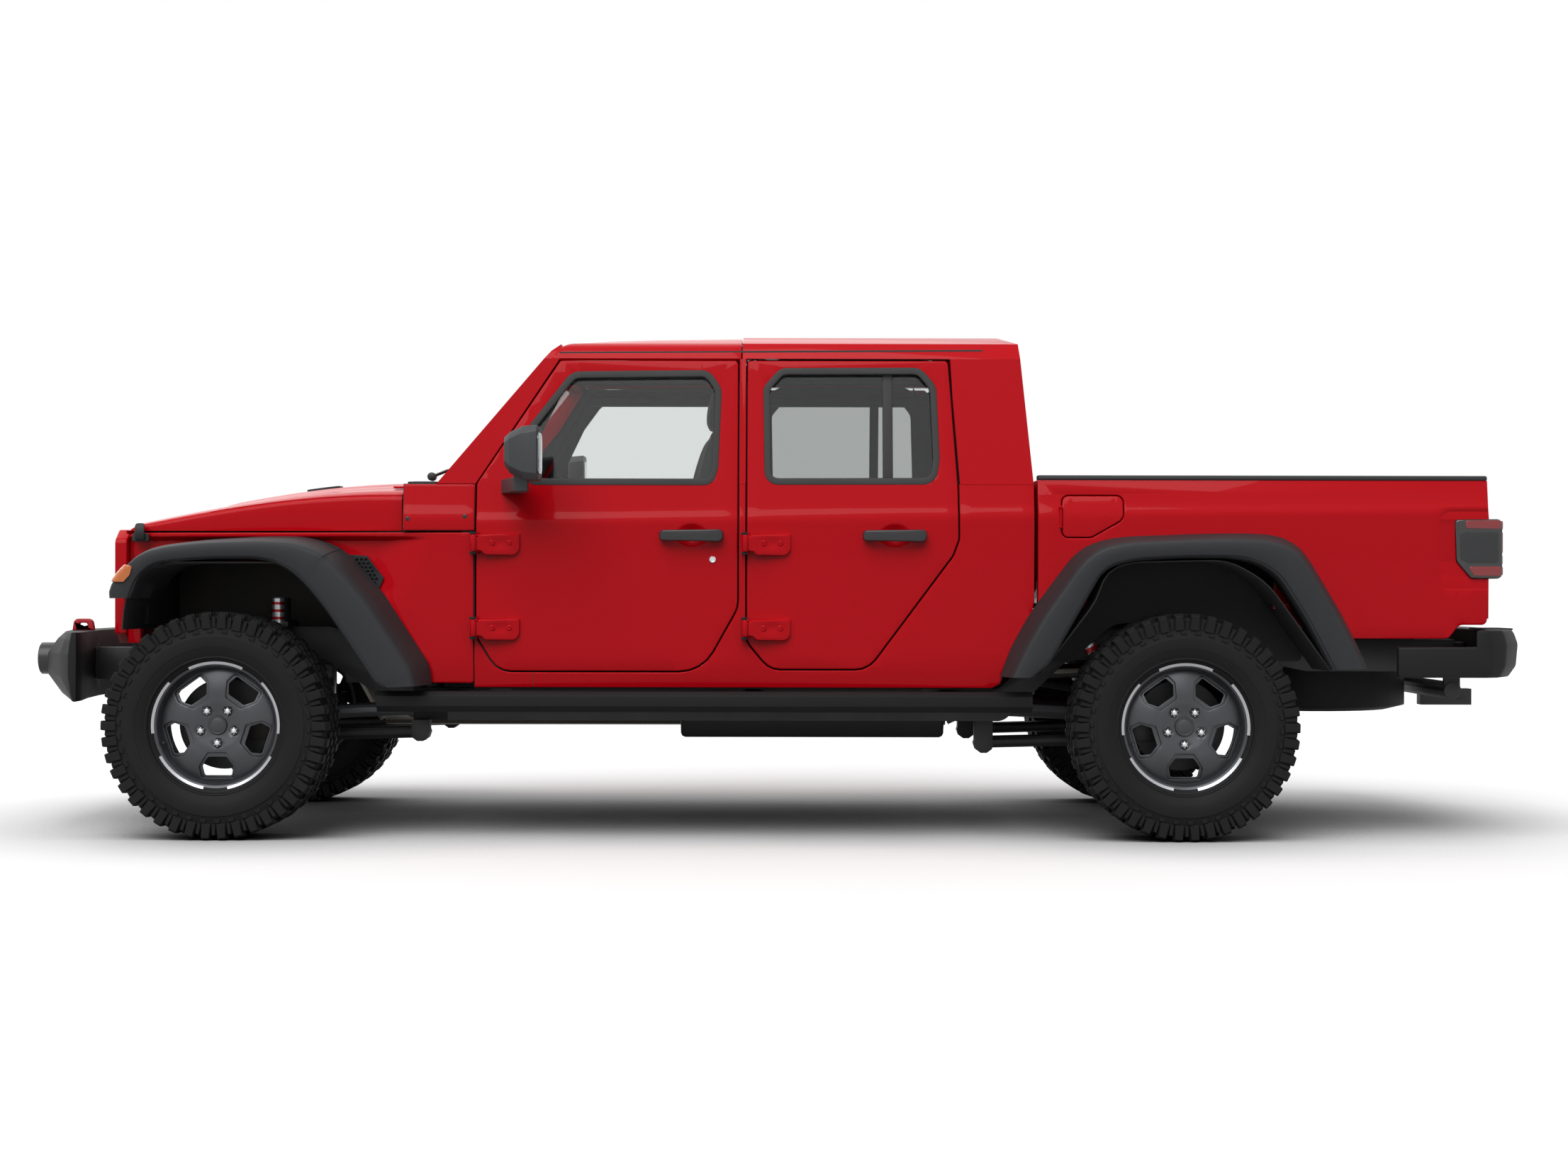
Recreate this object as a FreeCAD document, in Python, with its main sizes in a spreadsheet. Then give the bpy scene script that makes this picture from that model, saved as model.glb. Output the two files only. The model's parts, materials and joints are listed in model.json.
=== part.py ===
# Double-cab off-road pickup, built as separate pieces on a ladder frame with two live axles.
# Pieces are drawn with x rearwards from the front axle, y to the right, z up from the ground,
# and each finished piece is then shifted so that the origin lies under the middle of the car.
import FreeCAD, Part
import math
import os
import re

V = FreeCAD.Vector
doc = FreeCAD.newDocument("pickup")
sheet = doc.addObject("Spreadsheet::Sheet", "dims")

# Driving sizes in millimetres and degrees. Names ending in _x are stations behind the front axle,
# names ending in _z are heights above the ground and names ending in _y are distances off the centre.
SIZES = dict(
    # The whole car
    wheelbase=3487, front_overhang=780, rear_overhang=1272, track=1598,
    # Wheels, tyres and brakes
    tyre_radius=410, tyre_width=284, lug_depth=13, lug_count=42, lug_share=0.6, bead_radius=216.5,
    tread_half_width=123.5, side_lug_half_width=133, bead_half_width=91, sidewall_radius=324,
    tread_core_radius=350,
    rim_flange_radius=233.5, rim_seat_radius=216, rim_width=216, rim_wall=12, rim_flange_thickness=8,
    spoke_face_y=882, spoke_thickness=26, window_inner_radius=92, window_outer_radius=192,
    window_inner_half=20, window_outer_half=66, hub_radius=66, hub_bore=22, spindle_play=0.4,
    disc_radius=165, disc_y=740, disc_thickness=17, running_gap=5,
    caliper_outer_radius=178, caliper_inner_radius=96, caliper_half_height=54, caliper_pad=18,
    # Front knuckles and steering
    kingpin_y=700, kingpin_radius=12, knuckle_radius=38, knuckle_half_height=78, yoke_half_height=85,
    yoke_thickness=20, pin_play=0.4,
    # Axles
    axle_tube_radius=38, front_diff_radius=125, front_diff_y=-230, rear_tube_radius=42, rear_diff_radius=135,
    rear_flange_y=680,
    # Ladder frame
    rail_height=120, rail_width=70, rail_inner_front_y=350, rail_inner_rear_y=430, rail_low_z=410,
    rail_front_z=560, rail_axle_z=640, rail_rear_z=600, rail_step_x=640, crossmember_radius=30,
    # Cab and body section
    sill_z=540, sill_y=770, door_low_y=784, crease_low_z=1165, crease_y=792, crease_top_z=1200,
    crease_top_y=783, belt_z=1288, belt_y=766, gutter_z=1753, gutter_y=685, roof_edge_z=1812,
    roof_edge_y=645, roof_shoulder_z=1850, roof_shoulder_y=480, roof_top_z=1867,
    skin=18, wall=58, floor_z=590, floor_thickness=22, seam=6, inner_seam=16,
    cowl_x=652, firewall_x=858, tunnel_half=135, tunnel_top_z=775, cab_rear_x=2953, cab_rear_top_x=2905,
    # Doors and their windows
    door_front_x=921, pillar_x=1878, door_two_x=1907, door_rear_x=2677, door_low_z=606,
    door_top_z=1745, hinge_y=824, hinge_setback=6, hinge_radius=10, hinge_length=60, hinge_pin_radius=5,
    hinge_low_z=762, hinge_high_z=1071, strap_length=150, strap_height=92,
    handle_length=236, handle_height=34, handle_reach=42, handle_z=1100,
    glass_thickness=6, seat_gap=0.3,
    # Windshield and roof
    screen_low_x=773, screen_low_z=1290, screen_top_x=1183, screen_top_z=1784,
    screen_glass_low_z=1350, screen_glass_top_z=1728, screen_glass_low_y=672, screen_glass_top_y=602,
    roof_split_x=1888, roof_gap=5,
    # Hood, grille and front fenders
    hood_front_x=-385, hood_rear_x=640, hood_low_z=1116, hood_hinge_x=644, hood_hinge_z=1284,
    hood_pin_radius=3.5, hood_hinge_y=570, hood_front_z=1150, hood_rear_z=1290,
    hood_front_y=640, hood_rear_y=728, hood_skin=24, grille_x=-437, grille_thickness=46,
    grille_half_width=632, grille_low_z=698, grille_top_z=1122, grille_slots=5, grille_slot_height=34,
    grille_slot_pitch=60, grille_slot_half=345, lamp_radius=92, lamp_y=492, lamp_z=960,
    fender_rear_x=868, fender_wall=45,
    # Flares
    flare_y=937, flare_seat_y=745, flare_edge=34, flare_sink=110,
    # Bed and tailgate
    bed_front_x=2967, bed_rear_x=4607, bed_inner_y=721, bed_floor_z=860, bed_floor_thickness=25,
    bed_rail_z=1305, bed_low_z=782, bed_front_wall=45, wheelhouse_y=569, wheelhouse_z=1082,
    wheelhouse_front_x=3140, wheelhouse_rear_x=3850, gate_thickness=52, gate_y=698, gate_low_z=874,
    gate_hinge_x=4613, gate_hinge_z=860, gate_barrel_y=620, gate_pin_radius=5, cap_thickness=18,
    fuel_front_x=3055, fuel_rear_x=3276, fuel_low_z=1096, fuel_top_z=1246, fuel_lid=10, fuel_pocket=40,
    fuel_hinge_x=3049, fuel_hinge_y=798, fuel_hinge_z=1170, fuel_pin_radius=2.5,
    # Bumpers, rails and hitch
    bumper_half_width=860, bumper_low_z=493, bumper_top_z=744, rear_bumper_half_width=905,
    rear_bumper_top_z=762, rear_bumper_low_z=590, hitch_side=63.5, hitch_wall=6, hitch_z=485,
    hitch_pin_radius=8, hitch_length=200, rock_rail_front_x=568, rock_rail_rear_x=2942,
    rock_rail_low_z=458, rock_rail_height=74, rock_rail_y=852, rock_rail_depth=72,
    # Springs, shocks and links
    coil_radius=58, front_coil_y=500, rear_coil_y=465, shock_radius=28, shock_rod_radius=10,
    front_shock_x=152, front_shock_y=498, link_radius=22,
    # Hidden masses
    engine_length=620, engine_width=560, engine_height=430, exhaust_radius=28, gearbox_half=120,
    gearbox_low_z=536.3, spare_x=4090, spare_low_z=440,
    # Seats
    seat_width=430, seat_y=415, front_seat_x=1150, rear_seat_x=2120, rear_seat_width=1080,
    seat_floor_z=700, seat_top_z=890, seat_back_z=1480,
)
for row, (alias, value) in enumerate(SIZES.items(), 1):
    sheet.set(f"A{row}", alias)
    sheet.set(f"B{row}", str(value))
    sheet.setAlias(f"B{row}", alias)
doc.recompute()


class Dims:
    """The cells of the sheet, read back by name."""

    def __getattr__(self, alias):
        return float(sheet.get(alias))


size = Dims()
XY = FreeCAD.Rotation()
XZ = FreeCAD.Rotation(V(1, 0, 0), 90)
YZ = FreeCAD.Rotation(0.5, 0.5, 0.5, 0.5)


def bound(text):
    """An expression in the names of the sheet, as the document writes it."""
    return re.sub(r"[a-z][a-z_]+", lambda word: "dims." + word.group(), text)


def give(item, **values):
    """Set properties: a text is an expression in the sheet's names, anything else is a plain value."""
    for name, value in values.items():
        if isinstance(value, str):
            item.setExpression(name, bound(value))
        else:
            setattr(item, name, value)
    return item


def corner_arc(before, corner, after, radius):
    """The rounded corner between two straight runs: its arc, and where it leaves each run."""
    one = (before - corner).normalize()
    two = (after - corner).normalize()
    half = one.getAngle(two) / 2
    reach = radius / math.tan(half)
    centre = corner + (one + two).normalize() * (radius / math.sin(half))
    start = corner + one * reach
    end = corner + two * reach
    middle = centre + (corner - centre).normalize() * radius
    return Part.Arc(start, middle, end), start, end


def outline(name, turn, offset, *loops):
    """A sketch of closed loops. A corner is (a, b), or (a, b, radius) where it is rounded.

    A loop of one corner is a full circle.
    """
    sketch = doc.addObject("Sketcher::SketchObject", name + "_outline")
    geometry = []
    for loop in loops:
        if len(loop) == 1:
            geometry.append(Part.Circle(V(loop[0][0], loop[0][1], 0), V(0, 0, 1), loop[0][2]))
            continue
        spots = [V(c[0], c[1], 0) for c in loop]
        ends = []
        for i, corner in enumerate(loop):
            if len(corner) == 3 and corner[2] > 0:
                before = spots[i - 1]
                after = spots[(i + 1) % len(spots)]
                arc, start, end = corner_arc(before, spots[i], after, corner[2])
                geometry.append(arc)
                ends.append((start, end))
            else:
                ends.append((spots[i], spots[i]))
        for (_, start), (end, _) in zip(ends, ends[1:] + ends[:1]):
            if start.distanceToPoint(end) > 0.01:
                geometry.append(Part.LineSegment(start, end))
    sketch.addGeometry(geometry, False)
    sketch.Placement = FreeCAD.Placement(offset, turn)
    return sketch


def pulled(name, turn, offset, way, length, *loops):
    """An outline pulled straight along one way."""
    solid = doc.addObject("Part::Extrusion", name)
    solid.Base = outline(name, turn, offset, *loops)
    solid.DirMode = "Custom"
    solid.Dir = way
    solid.Solid = True
    return give(solid, LengthFwd=length)


def side_plate(name, y, width, *loops):
    """An outline in side view (x, z), from y to y + width."""
    return pulled(name, XZ, V(0, y, 0), V(0, 1, 0), width, *loops)


def cross_plate(name, x, length, *loops):
    """An outline in front view (y, z), from x to x + length."""
    return pulled(name, YZ, V(x, 0, 0), V(1, 0, 0), length, *loops)


def plan_plate(name, z, height, *loops):
    """An outline in plan (x, y), from z to z + height."""
    return pulled(name, XY, V(0, 0, z), V(0, 0, 1), height, *loops)


def block(name, x, y, z, length, width, height):
    """A block from its lowest corner."""
    item = doc.addObject("Part::Box", name)
    item.Placement.Base = V(x, y, z)
    return give(item, Length=length, Width=width, Height=height)


def rod(name, start, end, radius):
    """A round bar from one point to another."""
    item = doc.addObject("Part::Cylinder", name)
    way = V(*end) - V(*start)
    item.Placement = FreeCAD.Placement(V(*start), FreeCAD.Rotation(V(0, 0, 1), way))
    item.Height = way.Length
    return give(item, Radius=radius)


def bar(name, start, end, radius, flats=10):
    """A straight bar with flats round it, which lie at the radius: for tubes and rods out of sight."""
    item = doc.addObject("Part::Prism", name)
    way = V(*end) - V(*start)
    item.Placement = FreeCAD.Placement(V(*start), FreeCAD.Rotation(V(0, 0, 1), way))
    item.Polygon = flats
    item.Height = way.Length
    return give(item, Circumradius=f"({radius}) * {1 / math.cos(math.pi / flats):.6f}")


def facets(near, far):
    """Flat faces between two rings of points, split in two where the four corners don't lie flat."""
    faces = []
    for i in range(len(near)):
        one, two, three, four = near[i - 1], near[i], far[i], far[i - 1]
        normal = (two - one).cross(three - one).normalize()
        flat = abs(normal.dot(four - one)) < 0.001
        for corners in ([one, two, three, four],) if flat else ([one, two, three], [one, three, four]):
            faces.append(Part.Face(Part.makePolygon(corners + corners[:1])))
    return faces


def closed_solid(name, faces):
    item = doc.addObject("Part::Feature", name)
    solid = Part.Solid(Part.Shell(faces))
    item.Shape = solid if solid.Volume > 0 else solid.reversed()
    return item


def skinned(name, sections):
    """A solid through flat sections of as many points each, its sides made of flat facets."""
    faces = [Part.Face(Part.makePolygon(ring + ring[:1])) for ring in (sections[0], sections[-1])]
    for near, far in zip(sections, sections[1:]):
        faces += facets(near, far)
    return closed_solid(name, faces)


def many_sided(name, count, profile):
    """A ring round the wheel's line with one flat for each step; profile lists its (y, radius) corners."""
    angles = [2 * math.pi * (i + 0.5) / count for i in range(count)]
    rings = [[V(r * math.cos(a), y, r * math.sin(a)) for a in angles] for y, r in profile]
    faces = []
    for near, far in zip(rings, rings[1:] + rings[:1]):
        faces += facets(near, far)
    return closed_solid(name, faces)


def round_loop(a, b, radius, count=24):
    """A regular polygon that stands in for a circle in an outline."""
    turns = [2 * math.pi * i / count for i in range(count)]
    return [(a + radius * math.cos(turn), b + radius * math.sin(turn)) for turn in turns]


def fused(name, *items):
    if len(items) == 1:
        return items[0]
    item = doc.addObject("Part::MultiFuse", name)
    item.Shapes = list(items)
    return item


def cut(name, base, *tools):
    item = doc.addObject("Part::Cut", name)
    item.Base = base
    item.Tool = fused(name + "_tools", *tools)
    return item


def common(name, one, two):
    item = doc.addObject("Part::Common", name)
    item.Base = one
    item.Tool = two
    return item


def mirrored(item):
    """The same piece on the other side of the car."""
    other = doc.addObject("Part::Mirroring", item.Name + "_other")
    other.Source = item
    other.Normal = V(0, 1, 0)
    return other


def both(item):
    """A piece and its mirror image."""
    return [item, mirrored(item)]


NODES = []


def node(name, *items):
    """One finished sub-part: its solids together, shifted to the car's own origin."""
    item = doc.addObject("Part::Compound", name)
    item.Label = name
    item.Links = list(items)
    item.setExpression("Placement.Base.x", bound("(front_overhang - wheelbase - rear_overhang) / 2"))
    NODES.append(item)
    return item


def body_ring(inset):
    """The closed section of the cab in front view, each wall moved inwards by the inset."""
    right = [
        (size.sill_y - inset, size.sill_z + inset),
        (size.door_low_y - inset, size.sill_z + inset + 90),
        (size.crease_y - inset, size.crease_low_z),
        (size.crease_top_y - inset, size.crease_top_z),
        (size.belt_y - inset, size.belt_z),
        (size.gutter_y - inset, size.gutter_z),
        (size.roof_edge_y - inset, size.roof_edge_z - inset * 0.6),
        (size.roof_shoulder_y - inset * 0.4, size.roof_shoulder_z - inset * 0.7),
        (0, size.roof_top_z - inset * 0.7),
    ]
    return right + [(-y, z) for y, z in reversed(right[:-1])]


def body_layer(name, outer, inner, front, rear):
    """The cab's walls between two insets, as one tube along the car."""
    return cut(
        name,
        cross_plate(name + "_outside", front, rear - front, body_ring(outer)),
        cross_plate(name + "_inside", front - 1, rear - front + 2, body_ring(inner)),
    )


def grown(points, gap):
    """A closed outline moved outwards by the gap, its corners' radii with it."""
    count = len(points)
    area = sum(points[i - 1][0] * points[i][1] - points[i][0] * points[i - 1][1] for i in range(count))
    sign = 1 if area > 0 else -1
    result = []
    for i, p in enumerate(points):
        here = V(p[0], p[1], 0)
        to_here = (here - V(points[i - 1][0], points[i - 1][1], 0)).normalize()
        after = points[(i + 1) % count]
        onwards = (V(after[0], after[1], 0) - here).normalize()
        out_one = V(to_here.y, -to_here.x, 0) * sign
        out_two = V(onwards.y, -onwards.x, 0) * sign
        bisector = (out_one + out_two).normalize()
        spot = here + bisector * (gap / max(bisector.dot(out_one), 0.3))
        radius = p[2] + gap * 0.5 if len(p) == 3 else 0
        result.append((spot.x, spot.y, max(radius, 0)))
    return result


AXLE_Z = size.tyre_radius
HALF_TRACK = size.track / 2
SIDE = {"l": -1, "r": 1}


# Wheels: a tyre with 42 lugs right across the tread, and a five-spoke rim with its hub and disc.
RIM_FLATS = 28


def lug_ring(step):
    """The tread's toothed outline in side view, with every lug or every second one."""
    pitch = 2 * math.pi / size.lug_count
    ring = []
    for i in range(0, int(size.lug_count), step):
        half = pitch * size.lug_share / 2
        spots = [(size.tread_core_radius, -half), (size.tyre_radius, -half * 0.9),
                 (size.tyre_radius, half * 0.9), (size.tread_core_radius, half)]
        for radius, angle in spots:
            ring.append((radius * math.cos(pitch * i + angle), radius * math.sin(pitch * i + angle)))
    return ring


def tyre(name, flats, lugs):
    half = size.tyre_width / 2
    root = size.tyre_radius - size.lug_depth
    profile = [
        (-size.bead_half_width, size.bead_radius), (-half, size.sidewall_radius),
        (-size.tread_half_width, root), (size.tread_half_width, root),
        (half, size.sidewall_radius), (size.bead_half_width, size.bead_radius),
    ]
    carcass = many_sided(name + "_carcass", flats, profile)
    if not lugs:
        return carcass
    hole = [(0, 0, size.sidewall_radius)]
    tread = side_plate(name + "_tread", -size.tread_half_width, "2 * tread_half_width", lug_ring(1), hole)
    biters = side_plate(name + "_side_lugs", -size.side_lug_half_width, "2 * side_lug_half_width",
                        lug_ring(2), hole)
    return fused(name, carcass, tread, biters)


def rim(name, outward):
    """A rim whose face looks along outward (-1 to the left, 1 to the right), hub and brake disc with it."""
    half = size.rim_width / 2
    face = (size.spoke_face_y - HALF_TRACK) * outward
    back = face - size.spoke_thickness * outward
    inside = size.rim_seat_radius - size.rim_wall
    flange = size.rim_flange_radius
    lip = size.rim_flange_thickness
    barrel = many_sided(name + "_barrel", RIM_FLATS, [
        (-half, inside), (-half, flange), (lip - half, flange), (lip - half, size.rim_seat_radius),
        (half - lip, size.rim_seat_radius), (half - lip, flange), (half, flange), (half, inside),
    ])
    windows = []
    for i in range(5):
        turn = math.radians(54 + 72 * i)
        inner_r, outer_r = size.window_inner_radius, size.window_outer_radius
        inner_half, outer_half = size.window_inner_half, size.window_outer_half
        corners = [
            (inner_r, -inner_half), (outer_r * 0.8, -outer_half), (outer_r, -outer_half * 0.8),
            (outer_r, outer_half * 0.8), (outer_r * 0.8, outer_half), (inner_r, inner_half),
        ]
        windows.append([
            (r * math.cos(turn) - t * math.sin(turn), r * math.sin(turn) + t * math.cos(turn))
            for r, t in corners
        ])
    circle = round_loop(0, 0, (size.rim_seat_radius - size.rim_wall / 2), RIM_FLATS)
    disc_face = side_plate(name + "_face", min(face, back), "spoke_thickness", circle, *windows)
    disc_inner = (size.disc_y - HALF_TRACK) * outward
    disc_outer = disc_inner + size.disc_thickness * outward
    disc = bar(name + "_disc", (0, disc_inner, 0), (0, disc_outer, 0), "disc_radius", RIM_FLATS)
    hub = bar(name + "_hub", (0, disc_inner, 0), (0, back, 0), "hub_radius", 14)
    bore = rod(name + "_bore", (0, disc_inner - outward, 0), (0, back, 0), "hub_bore")
    return cut(name, fused(name + "_solid", barrel, disc_face, disc, hub), bore)


def placed(name, item, x, y, z):
    """A copy of a wheel's piece at its own place."""
    link = doc.addObject("Part::Compound", name)
    link.Links = [item]
    link.Placement.Base = V(x, y, z)
    return link


TYRE = tyre("tyre_shape", int(size.lug_count), True)
RIMS = {"l": rim("rim_shape_left", -1), "r": rim("rim_shape_right", 1)}
for end, station in (("f", 0), ("r", size.wheelbase)):
    for side, sign in SIDE.items():
        spot = (station, sign * HALF_TRACK, AXLE_Z)
        node(f"tyre_{end}{side}", placed(f"tyre_at_{end}{side}", TYRE, *spot))
        node(f"rim_{end}{side}", placed(f"rim_at_{end}{side}", RIMS[side], *spot))


# Front knuckles: an upright on two kingpins, the spindle that carries the hub, and the brake caliper.
def caliper(name, x, direction):
    """A caliper over the disc's edge, ahead of or behind the left hub."""
    low = size.caliper_inner_radius
    length = size.caliper_outer_radius - low
    start = x + (low if direction > 0 else -low - length)
    inner = size.disc_y - size.running_gap - size.caliper_pad
    outer = size.disc_y + size.disc_thickness + size.running_gap + size.caliper_pad
    height = size.caliper_half_height
    body = block(name + "_body", start, -outer, AXLE_Z - height, length, outer - inner,
                 "2 * caliper_half_height")
    slot_out = size.disc_radius + size.running_gap - low
    slot = block(name + "_slot", start if direction > 0 else start + length - slot_out,
                 -outer + size.caliper_pad, AXLE_Z - height - 1, slot_out,
                 "disc_thickness + 2 * running_gap", "2 * caliper_half_height + 2")
    return cut(name, body, slot)


def spindle(name, x):
    end = size.spoke_face_y - size.spoke_thickness
    return rod(name, (x, -(size.disc_y - size.running_gap - 14), AXLE_Z), (x, -end, AXLE_Z),
               "hub_bore - spindle_play")


knuckle_core = bar("knuckle_core", (0, -size.kingpin_y, AXLE_Z - size.knuckle_half_height),
                   (0, -size.kingpin_y, AXLE_Z + size.knuckle_half_height), "knuckle_radius")
knuckle_flange = bar("knuckle_flange", (0, -size.kingpin_y, AXLE_Z),
                     (0, -(size.disc_y - size.running_gap), AXLE_Z), 62)
knuckle_arm = block("knuckle_arm", 20, -(size.disc_y - size.running_gap), AXLE_Z - 28,
                    size.caliper_inner_radius, 18, 56)
knuckle_pins = [
    rod(f"knuckle_bore_{i}", (0, -size.kingpin_y, AXLE_Z + way * (size.knuckle_half_height - 24)),
        (0, -size.kingpin_y, AXLE_Z + way * (size.knuckle_half_height + 1)), "kingpin_radius + pin_play")
    for i, way in enumerate((-1, 1))
]
knuckle = cut("knuckle", fused("knuckle_solid", knuckle_core, knuckle_flange, knuckle_arm,
                               spindle("front_spindle", 0), caliper("front_caliper", 0, 1)), *knuckle_pins)
node("knuckle_l", knuckle)
node("knuckle_r", mirrored(knuckle))

# Front axle: a tube between two forked ends, with the differential off to the left.
yoke = []
for i, way in enumerate((-1, 1)):
    lug_z = AXLE_Z + way * size.yoke_half_height - (size.yoke_thickness if way < 0 else 0)
    yoke.append(block(f"yoke_lug_{i}", -26, -size.kingpin_y - 22, lug_z, 52, 84, "yoke_thickness"))
    yoke.append(rod(f"yoke_pin_{i}", (0, -size.kingpin_y, AXLE_Z + way * (size.yoke_half_height + 4)),
                    (0, -size.kingpin_y, AXLE_Z + way * (size.knuckle_half_height - 20)), "kingpin_radius"))
yoke.append(block("yoke_back", -26, -size.kingpin_y + 44,
                  AXLE_Z - size.yoke_half_height - size.yoke_thickness,
                  52, 18, "2 * (yoke_half_height + yoke_thickness)"))
yoke_solid = fused("yoke", *yoke)
front_tube = bar("front_tube", (0, -size.kingpin_y + 50, AXLE_Z), (0, size.kingpin_y - 50, AXLE_Z),
                 "axle_tube_radius")


def differential(name, x, y, radius, tube_radius, half_length):
    """A differential's round housing, tapered to the tube at each end."""
    housing = many_sided(name, 20, [
        (y - half_length, tube_radius / 2), (y - half_length, tube_radius - 4), (y - 50, radius),
        (y + 50, radius), (y + half_length, tube_radius - 4), (y + half_length, tube_radius / 2)])
    housing.Placement.Base = V(x, 0, AXLE_Z)
    return housing


front_diff = differential("front_diff", 0, size.front_diff_y, size.front_diff_radius,
                          size.axle_tube_radius, 105)
front_nose = bar("front_nose", (0, size.front_diff_y, AXLE_Z), (170, size.front_diff_y, AXLE_Z + 12), 52)
spring_pads = [block(f"spring_pad_{i}", -62, sign * size.front_coil_y - 62, AXLE_Z + 20, 124, 124, 24)
               for i, sign in enumerate((-1, 1))]
shock_pads = [block(f"shock_pad_{i}", 30, sign * size.front_shock_y - 22, AXLE_Z - 26, 140, 44, 14)
              for i, sign in enumerate((-1, 1))]
link_plates = both(block("front_link_plate", -10, -400.7, AXLE_Z - 90, 110, 15, 80))
bar_plate = block("front_bar_plate", -95, 380.3, AXLE_Z - 10, 95, 18, 80)
node("front_axle", fused("front_axle_solid", yoke_solid, mirrored(yoke_solid), front_tube, front_diff,
                         front_nose, *spring_pads, *shock_pads, *link_plates, bar_plate))

# Rear axle: a tube with a central differential, end flanges, fixed calipers and the hubs' spindles.
back = size.wheelbase
rear_tube = bar("rear_tube", (back, -size.rear_flange_y, AXLE_Z), (back, size.rear_flange_y, AXLE_Z),
                "rear_tube_radius")
rear_diff = differential("rear_diff", back, 0, size.rear_diff_radius, size.rear_tube_radius, 120)
rear_nose = bar("rear_nose", (back, 0, AXLE_Z), (back - 210, 0, AXLE_Z + 16), 58)
rear_end = fused(
    "rear_end",
    bar("rear_flange", (back, -size.rear_flange_y + 30, AXLE_Z),
        (back, -(size.disc_y - size.running_gap), AXLE_Z), 62),
    block("rear_arm", back - 20 - size.caliper_inner_radius, -(size.disc_y - size.running_gap), AXLE_Z - 28,
          size.caliper_inner_radius, 18, 56),
    spindle("rear_spindle", back), caliper("rear_caliper", back, -1),
)
rear_pads = [block(f"rear_pad_{i}", back - 60, sign * size.rear_coil_y - 60, AXLE_Z + 24, 120, 120, 22)
             for i, sign in enumerate((-1, 1))]
rear_link_plates = both(block("rear_link_plate", back - 90, -440, AXLE_Z - 90, 80, 15, 80))
rear_shock_pads = both(block("rear_shock_pad", back - 165, -570, AXLE_Z - 48, 165, 60, 18))
rear_bar_plate = block("rear_bar_plate", back + 45, 400.3, AXLE_Z - 10, 150, 16, 95)
node("rear_axle", fused("rear_axle_solid", rear_tube, rear_diff, rear_nose, rear_end, mirrored(rear_end),
                        *rear_pads, *rear_link_plates, *rear_shock_pads, rear_bar_plate))

# Ladder frame: two stepped rails, round crossmembers, spring towers and cab outriggers.
high = size.rail_height
front_rail = side_plate("front_rail", -size.rail_inner_front_y - size.rail_width, "rail_width", [
    (-560, size.rail_front_z), (-380, size.rail_front_z, 60), (-240, size.rail_axle_z, 60),
    (300, size.rail_axle_z, 80), (size.rail_step_x, size.rail_low_z, 60),
    (size.rail_step_x + 140, size.rail_low_z),
    (size.rail_step_x + 140, size.rail_low_z + high), (size.rail_step_x + 40, size.rail_low_z + high, 60),
    (340, size.rail_axle_z + high, 80), (-260, size.rail_axle_z + high, 60),
    (-400, size.rail_front_z + high, 60), (-560, size.rail_front_z + high),
])
step_out = plan_plate("rail_step", size.rail_low_z, "rail_height", [
    (size.rail_step_x, -size.rail_inner_front_y),
    (size.rail_step_x, -size.rail_inner_front_y - size.rail_width),
    (size.rail_step_x + 140, -size.rail_inner_rear_y - size.rail_width),
    (size.rail_step_x + 280, -size.rail_inner_rear_y - size.rail_width),
    (size.rail_step_x + 280, -size.rail_inner_rear_y), (size.rail_step_x + 140, -size.rail_inner_front_y),
])
rear_rail = side_plate("rear_rail", -size.rail_inner_rear_y - size.rail_width, "rail_width", [
    (size.rail_step_x + 140, size.rail_low_z), (back - 620, size.rail_low_z, 60),
    (back - 380, size.rail_axle_z, 80),
    (back + 320, size.rail_axle_z, 80), (back + 520, size.rail_rear_z, 60), (4560, size.rail_rear_z),
    (4560, size.rail_rear_z + high), (back + 540, size.rail_rear_z + high, 60),
    (back + 340, size.rail_axle_z + high, 80), (back - 400, size.rail_axle_z + high, 80),
    (back - 640, size.rail_low_z + high, 60), (size.rail_step_x + 140, size.rail_low_z + high),
])
tower = fused(
    "front_tower",
    block("tower_top", -70, -size.front_coil_y - 56, size.rail_axle_z + high, 260, 204, 20),
    block("tower_wall", -70, -size.rail_inner_front_y - size.rail_width, size.rail_axle_z + high - 60,
          260, 66, 60),
    bar("tower_shock", (size.front_shock_x, -size.front_shock_y, size.rail_axle_z + high + 10),
        (size.front_shock_x, -size.front_shock_y, 868), "shock_radius + 8"),
)
rear_shock_plate = block("rear_shock_plate", back - 360, -570, size.rail_axle_z + high - 8, 60, 90, 14)
outriggers = [block(f"outrigger_{i}", station, -640, size.rail_low_z + 40, 90, 150, 66)
              for i, station in enumerate((760, 1880, 2620))]
body_mounts = [block(f"body_mount_{i}", station, -505, size.rail_low_z + high - 10, 80, 70,
                     size.floor_z - size.rail_low_z - high + 10 - size.seat_gap)
               for i, station in enumerate((940, 1880, 2560))]
bed_under_z = size.bed_floor_z - size.bed_floor_thickness - size.seat_gap
bed_feet = [block(f"bed_foot_{i}", station, -495, base - 10, 80, 60, bed_under_z - base + 10)
            for i, (station, base) in enumerate(((3180, size.rail_axle_z + high),
                                                 (4330, size.rail_rear_z + high)))]
rail = fused("rail_left", front_rail, step_out, rear_rail, tower, rear_shock_plate, *outriggers, *body_mounts,
             *bed_feet)
members = []
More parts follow.
